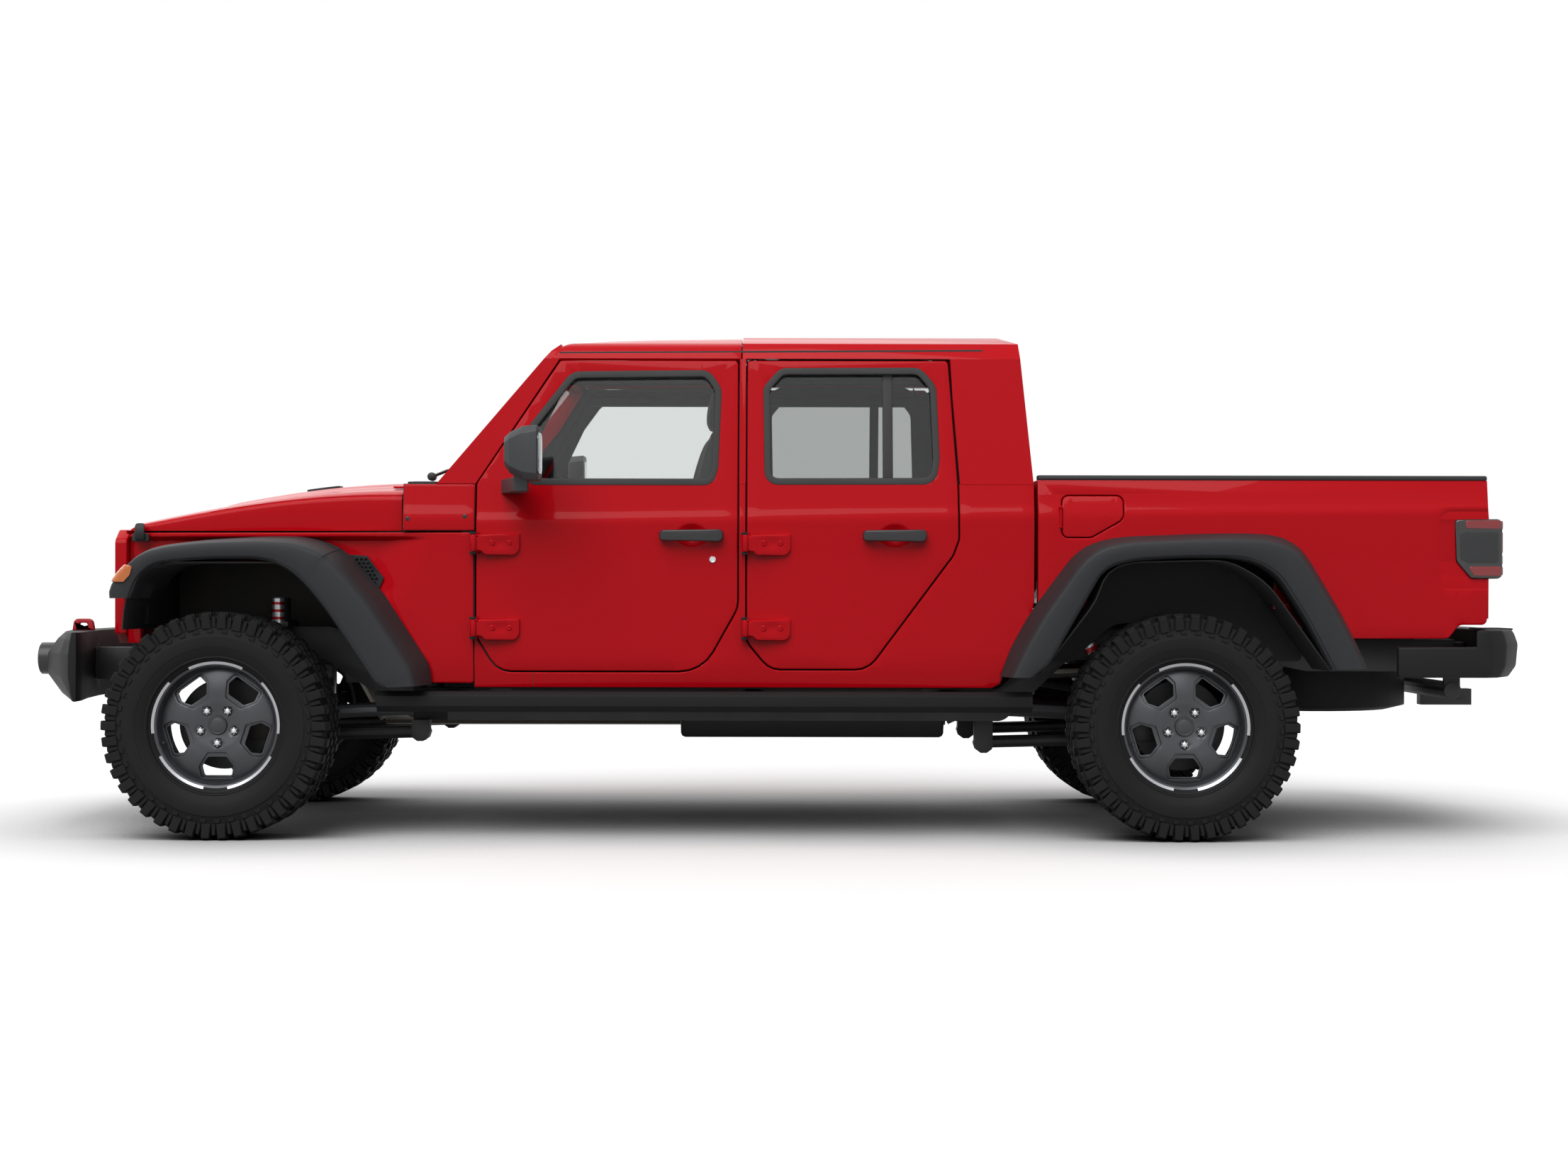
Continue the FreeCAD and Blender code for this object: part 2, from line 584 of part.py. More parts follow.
for i, (station, inner, z) in enumerate([
    (-420, size.rail_inner_front_y, size.rail_front_z + 60), (620, size.rail_inner_front_y, 506),
    (1560, size.rail_inner_rear_y, 440), (2780, size.rail_inner_rear_y, 525),
    (back + 120, size.rail_inner_rear_y, size.rail_axle_z + 84),
    (4520, size.rail_inner_rear_y, size.rail_rear_z + 60),
]):
    members.append(bar(f"crossmember_{i}", (station, -inner - 20, z), (station, inner + 20, z),
                       "crossmember_radius"))
spare_top_z = size.spare_low_z + size.tyre_width + size.seat_gap
members.append(cross_plate("spare_hanger", size.spare_x - 30, 60, [
    (-490, spare_top_z - 24), (-435, spare_top_z - 24), (-435, spare_top_z), (435, spare_top_z),
    (435, spare_top_z - 24), (490, spare_top_z - 24), (490, spare_top_z + 26), (-490, spare_top_z + 26)]))
node("frame", fused("frame_solid", rail, mirrored(rail), *members))

# Links and track bars between the axles and the frame, each with its eye or bracket.
under_rail_z = size.rail_low_z - size.seat_gap
front_link = bar("front_lower_link", (72, -428, AXLE_Z - 60), (672, -438, 364), "link_radius")
front_eyes = [bar("front_axle_eye", (72, -455, AXLE_Z - 60), (72, -401, AXLE_Z - 60), 30),
              bar("front_frame_eye", (672, -476, 364), (672, -400, 364), 34),
              block("front_hanger", 640, -476, 364, 64, 76, under_rail_z - 364)]
rear_link = bar("rear_lower_link", (2794, -452, 330), (back - 60, -470, AXLE_Z - 62), "link_radius")
rear_eyes = [bar("rear_axle_eye", (back - 60, -500, AXLE_Z - 62), (back - 60, -440.3, AXLE_Z - 62), 30),
             bar("rear_frame_eye", (2794, -490, 326), (2794, -420, 326), 36),
             block("rear_hanger", 2760, -490, 326, 68, 70, under_rail_z - 326)]
upper_z = AXLE_Z + size.rear_tube_radius + 22 + size.seat_gap
upper_link = bar("rear_upper_link", (2960, -396, 561), (back - 2, -246, upper_z - 1), 16)
upper_eyes = [bar("upper_frame_eye", (2960, -size.rail_inner_rear_y + size.seat_gap, 560),
                  (2960, -365, 560), 26),
              bar("upper_axle_eye", (back, -276, upper_z), (back, -224, upper_z), 22)]
links = both(fused("front_link", front_link, *front_eyes)) + both(fused("rear_link", rear_link, *rear_eyes))
links += both(fused("upper_link", upper_link, *upper_eyes))
links.append(fused("front_track_bar", bar("front_bar", (-90, -400, 610), (-70, 376.5, AXLE_Z + 46), 17),
                   block("front_bar_bracket", -115, -420, 590, 50, 40,
                         size.rail_axle_z - size.seat_gap - 590)))
links.append(fused("rear_track_bar",
                   bar("rear_bar", (back + 160, -440, 610), (back + 160, 396, AXLE_Z + 58), 17),
                   block("rear_bar_bracket", back + 135, -480, 590, 50, 50,
                         size.rail_axle_z - size.seat_gap - 590)))
node("suspension_links", *links)


# Coil springs on the axles' pads, and the dampers beside them.
def coil(name, x, y, low, top):
    return cut(name, bar(name + "_outer", (x, y, low), (x, y, top), "coil_radius", 14),
               bar(name + "_inner", (x, y, low - 1), (x, y, top + 1), "coil_radius - 16", 14))


def damper(name, bottom, top):
    start = V(*bottom)
    way = V(*top) - start
    middle = start + way * 0.56
    return fused(name, bar(name + "_tube", bottom, tuple(middle), "shock_radius"),
                 bar(name + "_rod", tuple(middle), top, "shock_rod_radius"))


springs = both(coil("front_coil", 0, -size.front_coil_y, AXLE_Z + 44.3, size.rail_axle_z + high - 0.3))
springs += both(coil("rear_coil", back, -size.rear_coil_y, AXLE_Z + 46.3, size.rail_axle_z - 0.3))
springs += both(damper("front_damper", (size.front_shock_x, -size.front_shock_y, AXLE_Z - 11.7),
                       (size.front_shock_x, -size.front_shock_y, size.rail_axle_z + high - 0.3)))
springs += both(damper("rear_damper", (back - 130, -540, AXLE_Z - 14.8),
                       (back - 330, -540, size.rail_axle_z + high - 13.5)))
node("springs_shocks", *springs)

# Engine and gearbox as plain masses, propeller shafts, exhaust, fuel tank.
node("engine_block", block("engine", -290, -size.engine_width / 2, 610, "engine_length", "engine_width",
                           "engine_height"))
engine_rear_x = size.engine_length - 290
box_half = size.gearbox_half
gearbox = cross_plate("gearbox", engine_rear_x + size.seat_gap, 760, [
    (-box_half, size.gearbox_low_z), (box_half, size.gearbox_low_z), (box_half, 690), (box_half - 34, 760),
    (34 - box_half, 760), (-box_half, 690)])
transfer = block("transfer_case", 1080, -240, 400, 300, 420, 180)
rear_shaft = bar("rear_shaft", (1370, 0, 520), (back - 211, 0, AXLE_Z + 16), 38)
front_shaft = bar("front_shaft", (1085, -215, 470), (171, size.front_diff_y, AXLE_Z + 12), 26)
node("driveline", fused("driveline_solid", gearbox, transfer, rear_shaft, front_shaft))
pipe_y = size.engine_width / 2 + size.exhaust_radius + size.seat_gap + 1.5
PIPE_ROUTE = [(240, pipe_y, 700), (420, pipe_y, 380), (2700, pipe_y, 380), (3100, pipe_y, 568),
              (3640, 330, 590), (3760, 560, 590), (4300, 650, 560)]
pipes = [bar(f"pipe_{i}", a, b, "exhaust_radius") for i, (a, b) in enumerate(zip(PIPE_ROUTE, PIPE_ROUTE[1:]))]
node("exhaust", fused("exhaust_solid", *pipes))
node("fuel_tank", cross_plate("fuel_tank_solid", 1650, 1000, [
    (-429.7, 420), (-370, 340), (-110, 340), (-70, 380), (-70, 560), (-429.7, 560)]))

# Spare wheel, lying under the bed between the rails.
spare_tyre = placed("spare_tyre_shape", tyre("spare_tyre", RIM_FLATS, False), 0, 0, 0)
spare_wheel = doc.addObject("Part::Compound", "spare_pair")
spare_disc = cut("spare_disc", bar("spare_disc_rim", (0, -70, 0), (0, 90, 0), "rim_seat_radius - 2",
                                   RIM_FLATS),
                 bar("spare_disc_hollow", (0, -71, 0), (0, 60, 0), "rim_seat_radius - rim_wall", RIM_FLATS))
spare_wheel.Links = [spare_tyre, spare_disc]
spare_wheel.Placement = FreeCAD.Placement(
    V(size.spare_x, 0, size.spare_low_z + size.tyre_width / 2), FreeCAD.Rotation(V(1, 0, 0), 90))
node("spare_wheel", spare_wheel)


# Bumpers: plan outlines at several heights, the face standing back by a share of the bumper's depth.
def swept_bumper(name, face, levels):
    """A bumper from its face in plan, as (x, y, depth) from the middle out, and (z, share) levels."""
    way = 1 if face[0][2] > 0 else -1
    sections = []
    for z, share in levels:
        front = [V(x + depth * share, y, z) for x, y, depth in face]
        rear = [V(x + depth, y, z) for x, y, depth in face]
        half = front + rear[::-1]
        sections.append(half + [V(p.x, -p.y, z) for p in half[::-1] if p.y > 0])
    return skinned(name, sections)


nose = -size.front_overhang
wide = size.bumper_half_width
node("front_bumper", fused(
    "front_bumper_solid",
    swept_bumper("front_beam", [
        (nose, 0, 200), (nose, 300, 200), (nose + 76, 560, 150), (nose + 180, wide - 90, 82),
        (nose + 236, wide, 30)],
        [(size.bumper_low_z, 0.55), (size.bumper_low_z + 20, 0.35), (size.bumper_low_z + 92, 0),
         (size.bumper_low_z + 172, 0), (size.bumper_top_z - 26, 0.25), (size.bumper_top_z, 0.45)]),
    *[block(f"bumper_bracket_{i}", nose + 200, sign * 385 - 30, size.rail_front_z + 4, 19.7, 60, 112)
      for i, sign in enumerate((-1, 1))],
))
hook_low_z = size.bumper_top_z + size.seat_gap
hook_loop = [(nose + 125, hook_low_z), (nose + 132, hook_low_z + 44, 20), (nose + 200, hook_low_z + 44, 20),
             (nose + 208, hook_low_z)]
hook_hole = [(nose + 146, hook_low_z + 6), (nose + 152, hook_low_z + 28, 8), (nose + 180, hook_low_z + 28, 8),
             (nose + 188, hook_low_z + 6)]
hook = side_plate("tow_hook", -420, 26, hook_loop, hook_hole)
node("tow_hooks", *both(hook))

tail = size.wheelbase + size.rear_overhang
rear_wide = size.rear_bumper_half_width
node("rear_bumper", fused(
    "rear_bumper_solid",
    swept_bumper("rear_beam", [
        (tail, 0, -150), (tail, 380, -150), (tail - 36, 760, -120), (tail - 110, rear_wide - 30, -90),
        (tail - 170, rear_wide, -60)],
        [(size.rear_bumper_low_z, 0.3), (size.rear_bumper_low_z + 40, 0.06),
         (size.rear_bumper_low_z + 120, 0), (size.rear_bumper_top_z - 12, 0.12),
         (size.rear_bumper_top_z, 0.2)]),
    *both(plan_plate("rear_bumper_end", size.rear_bumper_low_z, 110, [
        (4250, -rear_wide + 30), (4250, -rear_wide), (tail - 190, -rear_wide), (tail - 190, -rear_wide + 120),
        (tail - 240, -rear_wide + 60)])),
    *both(block("rear_bumper_mount", 4560.3, -size.rail_inner_rear_y - 65, size.rail_rear_z + 10,
                46, 60, 100)),
))
hitch_end = tail - 4
tube = block("hitch_tube", hitch_end - size.hitch_length, -size.hitch_side / 2,
             size.hitch_z - size.hitch_side / 2,
             "hitch_length", "hitch_side", "hitch_side")
socket = block("hitch_socket", hitch_end - size.hitch_length + 20, -size.hitch_side / 2 + size.hitch_wall,
               size.hitch_z - size.hitch_side / 2 + size.hitch_wall, "hitch_length",
               "hitch_side - 2 * hitch_wall", "hitch_side - 2 * hitch_wall")
pin_hole = rod("hitch_pin_hole", (hitch_end - 64, -size.hitch_side, size.hitch_z),
               (hitch_end - 64, size.hitch_side, size.hitch_z), "hitch_pin_radius")
hitch_cross = bar("hitch_cross", (hitch_end - size.hitch_length, -500, size.hitch_z + 42),
                  (hitch_end - size.hitch_length, 500, size.hitch_z + 42), 32)
hitch_arm = block("hitch_arm", hitch_end - size.hitch_length - 30, -490, size.hitch_z + 42, 60, 20,
                  size.rail_rear_z - size.seat_gap - size.hitch_z - 42)
node("hitch_receiver", cut("hitch_solid", fused("hitch_body", tube, hitch_cross, *both(hitch_arm)),
                           socket, pin_hole))

rail_section = [
    (-size.rock_rail_y, size.rock_rail_low_z + 22), (-size.rock_rail_y + 24, size.rock_rail_low_z),
    (-size.rock_rail_y + size.rock_rail_depth, size.rock_rail_low_z),
    (-size.rock_rail_y + size.rock_rail_depth, size.rock_rail_low_z + size.rock_rail_height),
    (-size.rock_rail_y + 18, size.rock_rail_low_z + size.rock_rail_height),
    (-size.rock_rail_y, size.rock_rail_low_z + size.rock_rail_height - 16),
]
rock_rail = cross_plate("rock_rail", size.rock_rail_front_x, "rock_rail_rear_x - rock_rail_front_x",
                        rail_section)
rock_arms = [block(f"rock_arm_{i}", x, -size.rock_rail_y + size.rock_rail_depth, 468, 70,
                   size.rock_rail_y - size.rock_rail_depth - 640.3, 40)
             for i, x in enumerate((770, 1890, 2630))]
node("rock_rails", *both(fused("rock_rail_solid", rock_rail, *rock_arms)))

# Cab: one closed section gives the walls of the tub, the doors, the windshield frame and the top.
door_front, door_rear = size.door_front_x, size.pillar_x - size.seam
top, low = size.door_top_z, size.door_low_z
FRONT_DOOR = [
    (door_front, size.door_low_z + 130, 60), (door_front + 96, low, 70), (door_rear - 130, low, 90),
    (door_rear, low + 232, 60), (door_rear, top, 12), (1218, top, 12), (door_front + 23, 1324, 30),
    (door_front, size.belt_z, 0),
]
two_front, two_rear = size.door_two_x, size.door_rear_x
REAR_DOOR = [
    (two_front, low + 110, 40), (two_front + 84, low + 8, 60), (two_rear - 330, low + 8, 60),
    (two_rear - 22, 1028, 40), (two_rear, 1087, 20), (two_rear - 2, size.belt_z - 14),
    (two_rear - 24, 1600, 10), (two_rear - 34, top, 12), (two_front, top, 12),
]
FRONT_WINDOW = [
    (1104, 1288, 24), (1786, 1288, 26), (1799, 1352, 20), (1812, 1640, 20), (1760, 1706, 40),
    (1262, 1700, 40), (1108, 1497, 30),
]
REAR_WINDOW = [
    (1975, 1288, 30), (2592, 1292, 30), (2606, 1380, 20), (2596, 1650, 30), (2540, 1716, 40),
    (2028, 1714, 40), (1969, 1645, 20),
]
REACH = 1100    # well past the car's half-width


def wall_slab(name, points, y=-REACH):
    """A side outline pulled through the left wall only."""
    return side_plate(name, y, REACH - 400, points)


def straps(name, hinge_x):
    """A door's two outside hinge straps with their barrels."""
    items = []
    inside = size.crease_y - 8
    for i, z in enumerate((size.hinge_low_z, size.hinge_high_z)):
        plate = block(f"{name}_strap_{i}", hinge_x + 18, -size.hinge_y, z - size.strap_height / 2,
                      "strap_length", size.hinge_y - inside, "strap_height")
        barrel = rod(f"{name}_barrel_{i}", (hinge_x, -size.hinge_y, z - size.hinge_length / 2),
                     (hinge_x, -size.hinge_y, z + size.hinge_length / 2), "hinge_radius")
        web = block(f"{name}_web_{i}", hinge_x, -size.hinge_y - 6, z - size.hinge_length / 2,
                    30, 12, "hinge_length")
        hole = rod(f"{name}_hole_{i}", (hinge_x, -size.hinge_y, z - size.hinge_length),
                   (hinge_x, -size.hinge_y, z + size.hinge_length), "hinge_pin_radius + pin_play")
        items.append(cut(f"{name}_hinge_{i}", fused(f"{name}_hinge_solid_{i}", plate, barrel, web), hole))
    return items


def hinge_seats(name, hinge_x):
    """The fixed ears above and below each barrel, joined by the pin."""
    items = []
    for i, z in enumerate((size.hinge_low_z, size.hinge_high_z)):
        reach = size.hinge_length / 2 + 2
        for j, base in enumerate((z - reach - 8, z + reach)):
            items.append(plan_plate(f"{name}_ear_{i}{j}", base, 8, [
                (hinge_x - 14, -size.hinge_y - 10), (hinge_x + 8, -size.hinge_y - 10),
                (hinge_x + 8, -size.hinge_y + 22), (hinge_x + 1, -size.hinge_y + 24),
                (hinge_x + 1, -size.crease_y + 36), (hinge_x - 14, -size.crease_y + 36)]))
        items.append(rod(f"{name}_pin_{i}", (hinge_x, -size.hinge_y, z - reach - 4),
                         (hinge_x, -size.hinge_y, z + reach + 4), "hinge_pin_radius"))
    return items


def door(name, door_outline, window, hinge_x, handle_x, layers):
    skin_layer, inner_layer = layers
    panel = common(name + "_skin", wall_slab(name + "_skin_slab", door_outline), skin_layer)
    inner_line = [corner[:2] for corner in grown(door_outline, -size.inner_seam)]
    inner = common(name + "_inner", wall_slab(name + "_inner_slab", inner_line), inner_layer)
    grip = block(name + "_grip", handle_x, -size.crease_y - size.handle_reach,
                 size.handle_z - size.handle_height / 2, "handle_length", 16, "handle_height")
    posts = [block(f"{name}_post_{i}", x, -size.crease_y - size.handle_reach + 15,
                   size.handle_z - size.handle_height / 2, 34, size.handle_reach - 5, "handle_height")
             for i, x in enumerate((handle_x, handle_x + size.handle_length - 34))]
    solid = fused(name + "_solid", panel, inner, grip, *posts, *straps(name, hinge_x))
    return cut(name + "_shell", solid, wall_slab(name + "_window", window))


def pane(name, window, layer):
    """A door's glass, standing in its window with a little play all round."""
    return common(name, wall_slab(name + "_slab", grown(window, -size.seat_gap)), layer)


layer_front, layer_rear = 700, size.cab_rear_x + 30
skin_layer = body_layer("skin_layer", 0, size.skin, layer_front, layer_rear)
inner_layer = body_layer("inner_layer", size.skin, size.wall, layer_front, layer_rear)
glass_layer = body_layer("glass_layer", size.skin + 4, size.skin + 4 + size.glass_thickness,
                         layer_front, layer_rear)
front_hinge_x = size.door_front_x - size.hinge_setback
rear_hinge_x = size.door_two_x - size.hinge_setback
door_front_left = door("front_door", FRONT_DOOR, FRONT_WINDOW, front_hinge_x, 1588, (skin_layer, inner_layer))
door_rear_left = door("rear_door", REAR_DOOR, REAR_WINDOW, rear_hinge_x, 2328, (skin_layer, inner_layer))
front_pane = pane("front_pane", FRONT_WINDOW, glass_layer)
rear_pane = pane("rear_pane", REAR_WINDOW, glass_layer)
for end, shell, glass in (("f", door_front_left, front_pane), ("r", door_rear_left, rear_pane)):
    node(f"door_{end}l", shell)
    node(f"door_{end}r", mirrored(shell))
    node(f"glass_{end}l", glass)
    node(f"glass_{end}r", mirrored(glass))


def mirror_ring(x, inner, outer, low, high, bevel):
    """A section of the mirror's head across the car, with bevelled corners."""
    corners = [(inner + bevel, low), (outer - bevel, low), (outer, low + bevel), (outer, high - bevel),
               (outer - bevel, high), (inner + bevel, high), (inner, high - bevel), (inner, low + bevel)]
    return [V(x, -y, z) for y, z in corners]


mirror_head = skinned("mirror_head", [
    mirror_ring(1052, 975, 1065, 1340, 1440, 20), mirror_ring(1074, 945, 1090, 1312, 1458, 26),
    mirror_ring(1120, 925, 1108, 1290, 1478, 26), mirror_ring(1172, 920, 1112, 1288, 1482, 22)])
arm_root_y = 773.3
mirror_arm = plan_plate("mirror_arm", 1252, 50, [
    (1010, -arm_root_y), (1090, -arm_root_y), (1130, -960), (1130, -1010), (1080, -1010), (1070, -960)])
mirror_neck = block("mirror_neck", 1080, -1010, 1290, 50, 50, 30)
mirror = fused("mirror", mirror_head, mirror_arm, mirror_neck)
node("mirror_l", mirror)
node("mirror_r", mirrored(mirror))

# Tub: side walls round the door openings, floor, firewall, cowl and rear wall.
wall_layer = body_layer("wall_layer", 0, size.wall, size.cowl_x, size.cab_rear_x)
tub_front_x = size.fender_rear_x + size.seat_gap
tub_top_z = size.belt_z - size.seat_gap
tub_side = [
    (tub_front_x, size.sill_z + 160), (door_front - 7, size.sill_z), (2800, size.sill_z), (2830, 560),
    (2945, 820), (size.cab_rear_x, 860), (size.cab_rear_x, tub_top_z), (size.cowl_x, tub_top_z),
    (size.cowl_x, size.hood_low_z), (tub_front_x, size.hood_low_z),
]
belly = block("belly", size.cowl_x - 10, -690, size.sill_z - 10, 2400, 1380, "wall + 11")
tub_walls = cut("tub_walls", common("tub_ring", side_plate("tub_slab", -REACH, 2 * REACH, tub_side),
                                    wall_layer), belly)
door_holes = []
for i, shape in enumerate((FRONT_DOOR, REAR_DOOR)):
    door_holes += both(wall_slab(f"door_hole_{i}", grown(shape, size.seam)))
inner_half = size.crease_y - size.wall
floor_x, floor_top_z = door_front - 40, size.floor_z + size.floor_thickness
floor = block("floor", floor_x, -inner_half - 20, size.floor_z, 2660 - floor_x, 2 * inner_half + 40,
              "floor_thickness")
half, peak = size.tunnel_half, size.tunnel_top_z
tunnel_shape = [(-half, size.floor_z - 1), (-half, peak - 75), (-half + 35, peak), (half - 35, peak),
                (half, peak - 75), (half, size.floor_z - 1)]
tunnel_rear_x = 2060
tunnel_room = cross_plate("tunnel_room", floor_x - 100, tunnel_rear_x - 20 - floor_x + 100, tunnel_shape)
tunnel = cross_plate("tunnel", floor_x, tunnel_rear_x - floor_x, [
    (-half - 20, size.floor_z), (-half - 20, peak - 66), (-half + 26, peak + 20), (half - 26, peak + 20),
    (half + 20, peak - 66), (half + 20, size.floor_z)])
shelf_z = 980
kick_up = side_plate("kick_up", -inner_half, 2 * inner_half, [
    (2640, size.floor_z), (2674, size.floor_z), (2776, shelf_z), (size.cab_rear_x - 30, shelf_z),
    (size.cab_rear_x - 30, shelf_z + 20), (2760, shelf_z + 20), (2656, floor_top_z), (2640, floor_top_z)])
firewall = side_plate("firewall", -700, 1400, [
    (floor_x, size.floor_z), (floor_x + 22, size.floor_z), (floor_x + 22, 700), (size.firewall_x + 22, 770),
    (size.firewall_x + 22, 1262), (size.firewall_x, 1262), (size.firewall_x, 764), (floor_x, 694)])
rear_wall = block("rear_wall", size.cab_rear_x - 58, -inner_half, shelf_z, 40, 2 * inner_half,
                  tub_top_z - shelf_z)
cowl = cross_plate("cowl", size.cowl_x, size.firewall_x + 22 - size.cowl_x, [
    (-size.belt_y + 4, tub_top_z), (-size.crease_top_y + 2, 1210), (-size.crease_top_y + 42, 1210),
    (-size.belt_y + 44, size.belt_z - 42), (size.belt_y - 44, size.belt_z - 42),
    (size.crease_top_y - 42, 1210), (size.crease_top_y - 2, 1210), (size.belt_y - 4, tub_top_z)])
pillar_inner = block("pillar_inner", size.pillar_x - 45, -inner_half + 14, size.floor_z, 110, 46, 590)
hood_ears = [block(f"hood_ear_{i}", size.hood_hinge_x - 3.8, -size.hood_hinge_y + offset,
                   size.hood_hinge_z - 7, 24, 6, 13) for i, offset in enumerate((-38, 32))]
hood_pin = rod("hood_pin", (size.hood_hinge_x, -size.hood_hinge_y - 36, size.hood_hinge_z),
               (size.hood_hinge_x, -size.hood_hinge_y + 36, size.hood_hinge_z), "hood_pin_radius")
tub_parts = [floor, tunnel, kick_up, firewall, rear_wall, cowl, *both(pillar_inner), *both(hood_pin)]
for ear in hood_ears:
    tub_parts += both(ear)
for name, x in (("front_hinge", front_hinge_x), ("rear_hinge", rear_hinge_x)):
    for item in hinge_seats(name, x):
        tub_parts += both(item)
tub_holed = cut("tub_holed", tub_walls, *door_holes)
tub_inside = cut("tub_inside", fused("tub_inside_solid", *tub_parts), tunnel_room)
node("body_tub", fused("tub_solid", tub_holed, tub_inside))

# Windshield frame: the slab of wall between the screen's line and the front doors.
full_wall = body_layer("top_wall", 0, size.wall, 700, size.cab_rear_x)
screen_run = size.screen_top_x - size.screen_low_x
screen_rise = size.screen_top_z - size.screen_low_z
pillar_line = [
    (size.screen_low_x, size.belt_z), (door_front - size.seam, size.belt_z),
    (door_front + 23 - size.seam, 1324), (1218 - size.seam, top + 3), (1218 - size.seam + 10, 1868),
    (size.screen_top_x + 50, 1868),
    (size.screen_top_x, size.screen_top_z),
]
screen_solid = cross_plate("screen_solid", 700, 700, body_ring(0))
screen_side = common("screen_side", side_plate("screen_slab", -REACH, 2 * REACH, pillar_line), screen_solid)
opening_low, opening_top = size.screen_glass_low_z, size.screen_glass_top_z
SCREEN_HOLE = [
    (-size.screen_glass_low_y, opening_low, 30), (size.screen_glass_low_y, opening_low, 30),
    (size.screen_glass_top_y, opening_top, 30), (-size.screen_glass_top_y, opening_top, 30),
]
lean = screen_run / screen_rise


def screen_band(name, back, depth):
    """A slab parallel with the windshield, its front face a distance behind the frame's face."""
    line = [(size.screen_low_x + back - 40 * lean, size.screen_low_z - 40),
            (size.screen_low_x + back + depth - 40 * lean, size.screen_low_z - 40),
            (size.screen_top_x + back + depth + 60 * lean, size.screen_top_z + 60),
            (size.screen_top_x + back + 60 * lean, size.screen_top_z + 60)]
    return side_plate(name, -REACH, 2 * REACH, line)


inside_room = common("screen_room", screen_band("screen_room_band", 92, 600),
                     cross_plate("screen_room_section", 700, 700, body_ring(size.wall)))
screen_frame = cut("screen_frame", screen_side, cross_plate("screen_hole", 700, 700, SCREEN_HOLE),
                   inside_room)
node("windshield_glass", common("screen_pane", screen_band("glass_band", 16, 9),
                                cross_plate("glass_hole", 700, 700, grown(SCREEN_HOLE, -size.seat_gap))))

# Hardtop: two front roof panels and the rear top with its backlight.
roof_bottom = top + 8
roof_line = [
    (1213, roof_bottom), (size.roof_split_x - size.roof_gap, roof_bottom),
    (size.roof_split_x - size.roof_gap, 1900), (1225.5, 1900), (1222.5, 1868)]
roof_front = common("roof_front", side_plate("roof_front_slab", -REACH, 2 * REACH, roof_line), full_wall)
slope_cut = side_plate("roof_slope", -REACH, 2 * REACH, [
    (1150, 1784), (1183, 1784), (1240, 1826), (1520, 1842), (2560, 1866), (2700, 1866), (2830, 1856),
    (size.cab_rear_top_x, 1812), (3100, 1812), (3100, 2000), (1150, 2000)])
node("windshield_frame", cut("windshield_trimmed", screen_frame, slope_cut))
roof_gap = block("roof_middle_gap", 1150, -2, 1700, 900, 4, 300)
node("roof_panels", cut("roof_panels_solid", roof_front, slope_cut, roof_gap))
back_low, back_top = size.cab_rear_x, size.cab_rear_top_x
top_outline = [
    (size.roof_split_x, roof_bottom), (two_rear - 34 + 9, roof_bottom), (two_rear - 17, 1604),
    (two_rear + 7, size.belt_z), (back_low, size.belt_z), (back_top, 1812), (back_top, 1900),
    (size.roof_split_x, 1900)]
rear_top = common("rear_top", side_plate("rear_top_slab", -REACH, 2 * REACH, top_outline),
                  cross_plate("rear_top_section", 1800, 1300, body_ring(0)))
top_room = side_plate("top_room", -REACH, 2 * REACH, [
    (size.roof_split_x - 50, 1200), (back_low - size.wall, 1200), (back_low - size.wall, size.belt_z),
    (back_top - size.wall, 1812), (back_top - size.wall, 1900), (size.roof_split_x - 50, 1900)])
rear_room = common("rear_room", top_room, cross_plate("rear_room_section", 1700, 1300, body_ring(size.wall)))
BACKLIGHT = [(-560, 1380, 40), (560, 1380, 40), (520, 1720, 40), (-520, 1720, 40)]
strips = both(common("pillar_strip", side_plate("strip_slab", -REACH, REACH - 400, [
    (size.pillar_x, size.belt_z), (two_front - size.seam, size.belt_z),
    (two_front - size.seam, roof_bottom + 6), (size.roof_split_x, roof_bottom + 6),
    (size.roof_split_x, roof_bottom - 1), (size.pillar_x, roof_bottom - 1),
]), full_wall))
node("hardtop_rear", cut("hardtop_solid", fused("hardtop_all", cut("hardtop_shell", rear_top, rear_room),
                                                *strips),
                         cross_plate("backlight", 2700, 400, BACKLIGHT), slope_cut))
lean_back = (back_low - back_top) / (1812 - size.belt_z)


def back_band(name, ahead, depth):
    line = [(back_low - ahead - depth, size.belt_z), (back_low - ahead, size.belt_z),
            (back_top - ahead, 1812), (back_top - ahead - depth, 1812)]
    return side_plate(name, -REACH, 2 * REACH, line)


node("rear_window", common("rear_window_pane", back_band("rear_pane_band", 18, 6),
                           cross_plate("rear_pane_hole", 2700, 400, grown(BACKLIGHT, -size.seat_gap))))


# Hood: a shell through sections from the grille to the cowl, with its two hinge leaves at the rear.
def hood_section(x, share, inset):
    """The hood's section in front view at a station; share runs from 0 at the front to 1 at the rear."""
    half = size.hood_front_y + (size.hood_rear_y - size.hood_front_y) * share - inset
    rise = (size.hood_rear_z - size.hood_front_z) * math.sin(share * math.pi / 2)
    top_here = size.hood_front_z + rise - inset
    low_here = size.hood_low_z - inset
    edge = top_here - 12 - 26 * share
    right = [(half, low_here), (half - 8 * share, edge - 12), (half - 40, edge + 10 * share),
             (half * 0.45, top_here), (half * 0.38, top_here + 12 * share)]
    return [V(x, y, z) for y, z in right + [(-y, z) for y, z in reversed(right)]]


